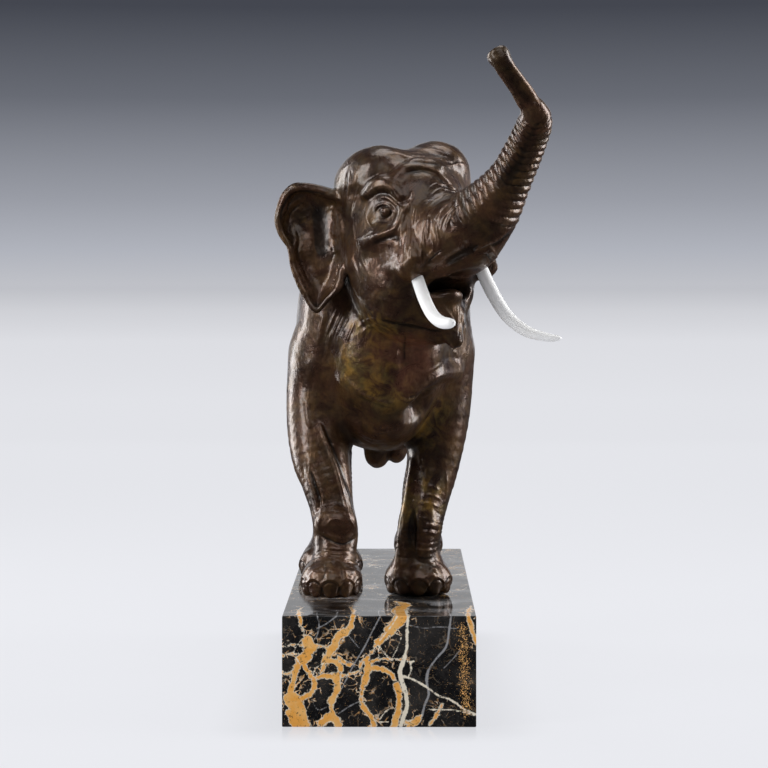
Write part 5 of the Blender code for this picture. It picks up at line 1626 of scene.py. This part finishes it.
def block_mesh(name):
    """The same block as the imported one, on a fine grid."""
    growths = (0, GRID_GROWTH_RATE, 0)
    sides = [spaced(half, PLINTH_EDGE, growth) for half, growth in zip(PLINTH_HALVES, growths)]
    rows, corners, start = [], [], 0
    for axis in range(3):
        others = [sides[i] for i in range(3) if i != axis]
        for sign in (-1, 1):
            spots = block_points(*others, axis, sign)
            wide, high = spots.shape[:2]
            number = start + np.arange(wide * high).reshape(wide, high)
            quads = [number[:-1, :-1], number[1:, :-1], number[1:, 1:], number[:-1, 1:]]
            quads = np.stack(quads, -1).reshape(-1, 4)
            turned = (sign > 0) == (axis != 1)
            rows.append(spots.reshape(-1, 3))
            corners.append(quads if turned else quads[:, ::-1])
            start += wide * high
    mesh = mesh_from(name, np.concatenate(rows) + (0, 0, PLINTH_HEIGHT / 2), np.concatenate(corners))
    work = bmesh.new()
    work.from_mesh(mesh)
    bmesh.ops.remove_doubles(work, verts=work.verts, dist=WELD)
    work.to_mesh(mesh)
    work.free()
    mesh.shade_smooth()
    return mesh


def build_plinth_skin(name):
    """The block with where its veins run: as drawn near the front, between cells further back."""
    mesh = block_mesh(name)
    points = places_of(mesh).astype(float)
    depth = points[:, 1] + PLINTH_DEPTH / 2
    slow = points * (0.3, 1, 0.3)
    leaning = np.stack([wander(slow, 0.21, 3.0), 0 * depth, wander(slow, 0.17, 8.0)], 1)
    flat = points + VEIN_DRIFT * np.clip(depth / 0.1, 0, 2)[:, None] * leaning
    flat[:, 1] = -PLINTH_DEPTH / 2
    place = in_view(flat)[0]
    deeper = smooth_step((depth - 0.02) / 0.09)
    shallow = 30 * (1 - deeper)
    patches = wander(points, 0.16, 6.0)
    walls = cell_distance(points, VEIN_CELL, VEIN_SEED) + 1.2 - 2.4 * patches + shallow
    gold = np.minimum(vein_distance(GOLD_VEINS, place) + 6 * deeper, walls)
    walls = cell_distance(points, CREAM_CELL, VEIN_SEED + 1) - 0.2 + shallow
    cream = np.minimum(vein_distance(CREAM_VEINS, place) + 6 * deeper, walls)
    walls = cell_distance(points, GREY_CELL, VEIN_SEED + 2) + shallow
    grey = np.minimum(vein_distance(GREY_VEINS, place) + 4 * deeper, walls)
    specks = 1 - along_path(place, np.array(SPECKLED_BAND, dtype=float))[0] / SPECKLED_WIDTH
    for part, values in (("gold", gold), ("cream", cream), ("grey", grey), ("specks", specks)):
        give_attribute(mesh, part, values)
    return mesh


def build_tusk_skin(name, stations):
    """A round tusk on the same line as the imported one, with a rounded tip."""
    path = path_from_floor(stations, 8)
    centres, radii = path[:, :3], path[:, 3]
    work = bmesh.new()
    across = np.array([0.0, 0.0, 1.0])
    rings = []
    for i, centre in enumerate(centres):
        axis = centres[min(i + 1, len(centres) - 1)] - centres[max(i - 1, 0)]
        axis /= np.linalg.norm(axis)
        across = across - (across @ axis) * axis
        across /= np.linalg.norm(across)
        side = np.cross(axis, across)
        turns = np.linspace(0, 2 * np.pi, TUSK_SIDES, endpoint=False)
        spots = [centre + radii[i] * (np.cos(t) * across + np.sin(t) * side) for t in turns]
        rings.append([work.verts.new(spot) for spot in spots])
    for first, second in zip(rings[:-1], rings[1:]):
        for i in range(TUSK_SIDES):
            j = (i + 1) % TUSK_SIDES
            work.faces.new((first[i], first[j], second[j], second[i]))
    tip = centres[-1] + radii[-1] * axis
    for ring, centre in ((rings[0], centres[0]), (rings[-1], tip)):
        middle = work.verts.new(centre)
        for i in range(TUSK_SIDES):
            work.faces.new((ring[(i + 1) % TUSK_SIDES], ring[i], middle))
    bmesh.ops.recalc_face_normals(work, faces=work.faces)
    mesh = bpy.data.meshes.new(name)
    work.to_mesh(mesh)
    work.free()
    mesh.shade_smooth()
    return mesh


def aim(thing, target):
    """Turns a lamp or a camera so that it looks at a point."""
    thing.rotation_euler = (Vector(target) - thing.location).to_track_quat("-Z", "Y").to_euler()


def add_camera():
    data = bpy.data.cameras.new("camera")
    data.lens = VIEW_LENS
    data.sensor_width = VIEW_FILM
    data.shift_y = VIEW_SHIFT
    camera = new_object("camera", data)
    camera.location = VIEW_POINT
    camera.rotation_euler = (np.radians(90 - VIEW_TILT), 0, np.radians(VIEW_TURN))
    bpy.context.scene.camera = camera


def add_lamps():
    for name, (place, size, power) in LAMPS.items():
        data = bpy.data.lights.new(name, "AREA")
        data.shape = "RECTANGLE"
        data.size, data.size_y = size
        data.energy = power
        lamp = new_object(name, data)
        lamp.location = place
        aim(lamp, LAMP_TARGET)
        lamp.visible_camera = False


def ramp(tree, value, stops):
    """A colour read from stops between nought and one."""
    made = node(tree, "ShaderNodeValToRGB", {"Fac": value})
    while len(made.color_ramp.elements) < len(stops):
        made.color_ramp.elements.new(0.5)
    for element, (at, colour) in zip(made.color_ramp.elements, stops):
        element.position = at
        element.color = (*colour, 1)
    return made.outputs[0]


def add_wall():
    """The studio around: pale at the horizon and darker upwards, as its light falls off."""
    world = bpy.data.worlds.new("studio")
    world.use_nodes = True
    tree = world.node_tree
    seen = node(tree, "ShaderNodeTexCoord").outputs["Generated"]
    directions = node(tree, "ShaderNodeSeparateXYZ", {0: seen})
    height = directions.outputs["Z"]
    share = times(tree, height, 1 / WALL_REACH, True)
    front = spread(tree, directions.outputs["Y"], -0.2, 0.7, ROOM_SHARE, 1.0)
    under = spread(tree, height, -0.05, -0.01, UNDER_SHARE, 1.0)
    back = tree.nodes["Background"]
    feed(tree, back, {"Color": ramp(tree, share, WALL), "Strength": times(tree, front, under)})
    bpy.context.scene.world = world


def add_floor():
    """A wide pale floor, lit from within as a light table is, dimmer far away."""
    half = FLOOR_SIZE / 2
    corners = [(-half, -half, 0), (half, -half, 0), (half, half, 0), (-half, half, 0)]
    mesh = bpy.data.meshes.new("floor")
    mesh.from_pydata(corners, [], [(0, 1, 2, 3)])
    floor = new_object("floor", mesh)
    floor.location.z = FLOOR_HEIGHT
    made, tree, shader, place = new_material("floor_pale")
    away = node(tree, "ShaderNodeVectorMath", {0: place}, operation="LENGTH").outputs["Value"]
    near = maths(tree, "DIVIDE", 1 / FLOOR_NEAR, away, True)
    feed(tree, shader, {
        "Emission Color": ramp(tree, near, FLOOR_GLOW),
        "Emission Strength": FLOOR_GLOW_SHARE,
        "Base Color": FLOOR_COLOUR,
        "Roughness": FLOOR_ROUGHNESS,
        "IOR": 1.0,
    })
    parts = node(tree, "ShaderNodeSeparateXYZ", {0: place}).outputs
    squares = []
    for part, half_side in zip(parts, PLINTH_HALVES[:2]):
        beyond = plus(tree, maths(tree, "ABSOLUTE", part), -float(half_side))
        beyond = maths(tree, "MAXIMUM", beyond, 0.0)
        squares.append(maths(tree, "POWER", beyond, 2.0))
    apart = maths(tree, "SQRT", plus(tree, *squares))
    shine = node(tree, "ShaderNodeBsdfGlossy", {"Roughness": SHEEN_ROUGHNESS})
    share = spread(tree, apart, 0.0, SHEEN_REACH, SHEEN_SHARE, 0.0)
    both = node(tree, "ShaderNodeMixShader", {0: share, 1: shader.outputs[0], 2: shine.outputs[0]})
    tree.links.new(both.outputs[0], tree.nodes["Material Output"].inputs["Surface"])
    mesh.materials.append(made)
    floor.visible_glossy = False


bpy.context.scene.view_settings.view_transform = "Standard"
add_camera()
add_lamps()
add_wall()
add_floor()
bronze = bronze_material()
for casting in build_skin():
    dress(casting, bronze, "elephant")
tusk_white = tusk_material()
for side, stations in (("right_tusk", RIGHT_TUSK), ("left_tusk", LEFT_TUSK)):
    tusk = new_object(side + "_skin", build_tusk_skin(side + "_skin", stations))
    dress(tusk, tusk_white, side)
plinth = new_object("marble_plinth_skin", build_plinth_skin("marble_plinth_skin"))
dress(plinth, marble_material(), "marble_plinth")
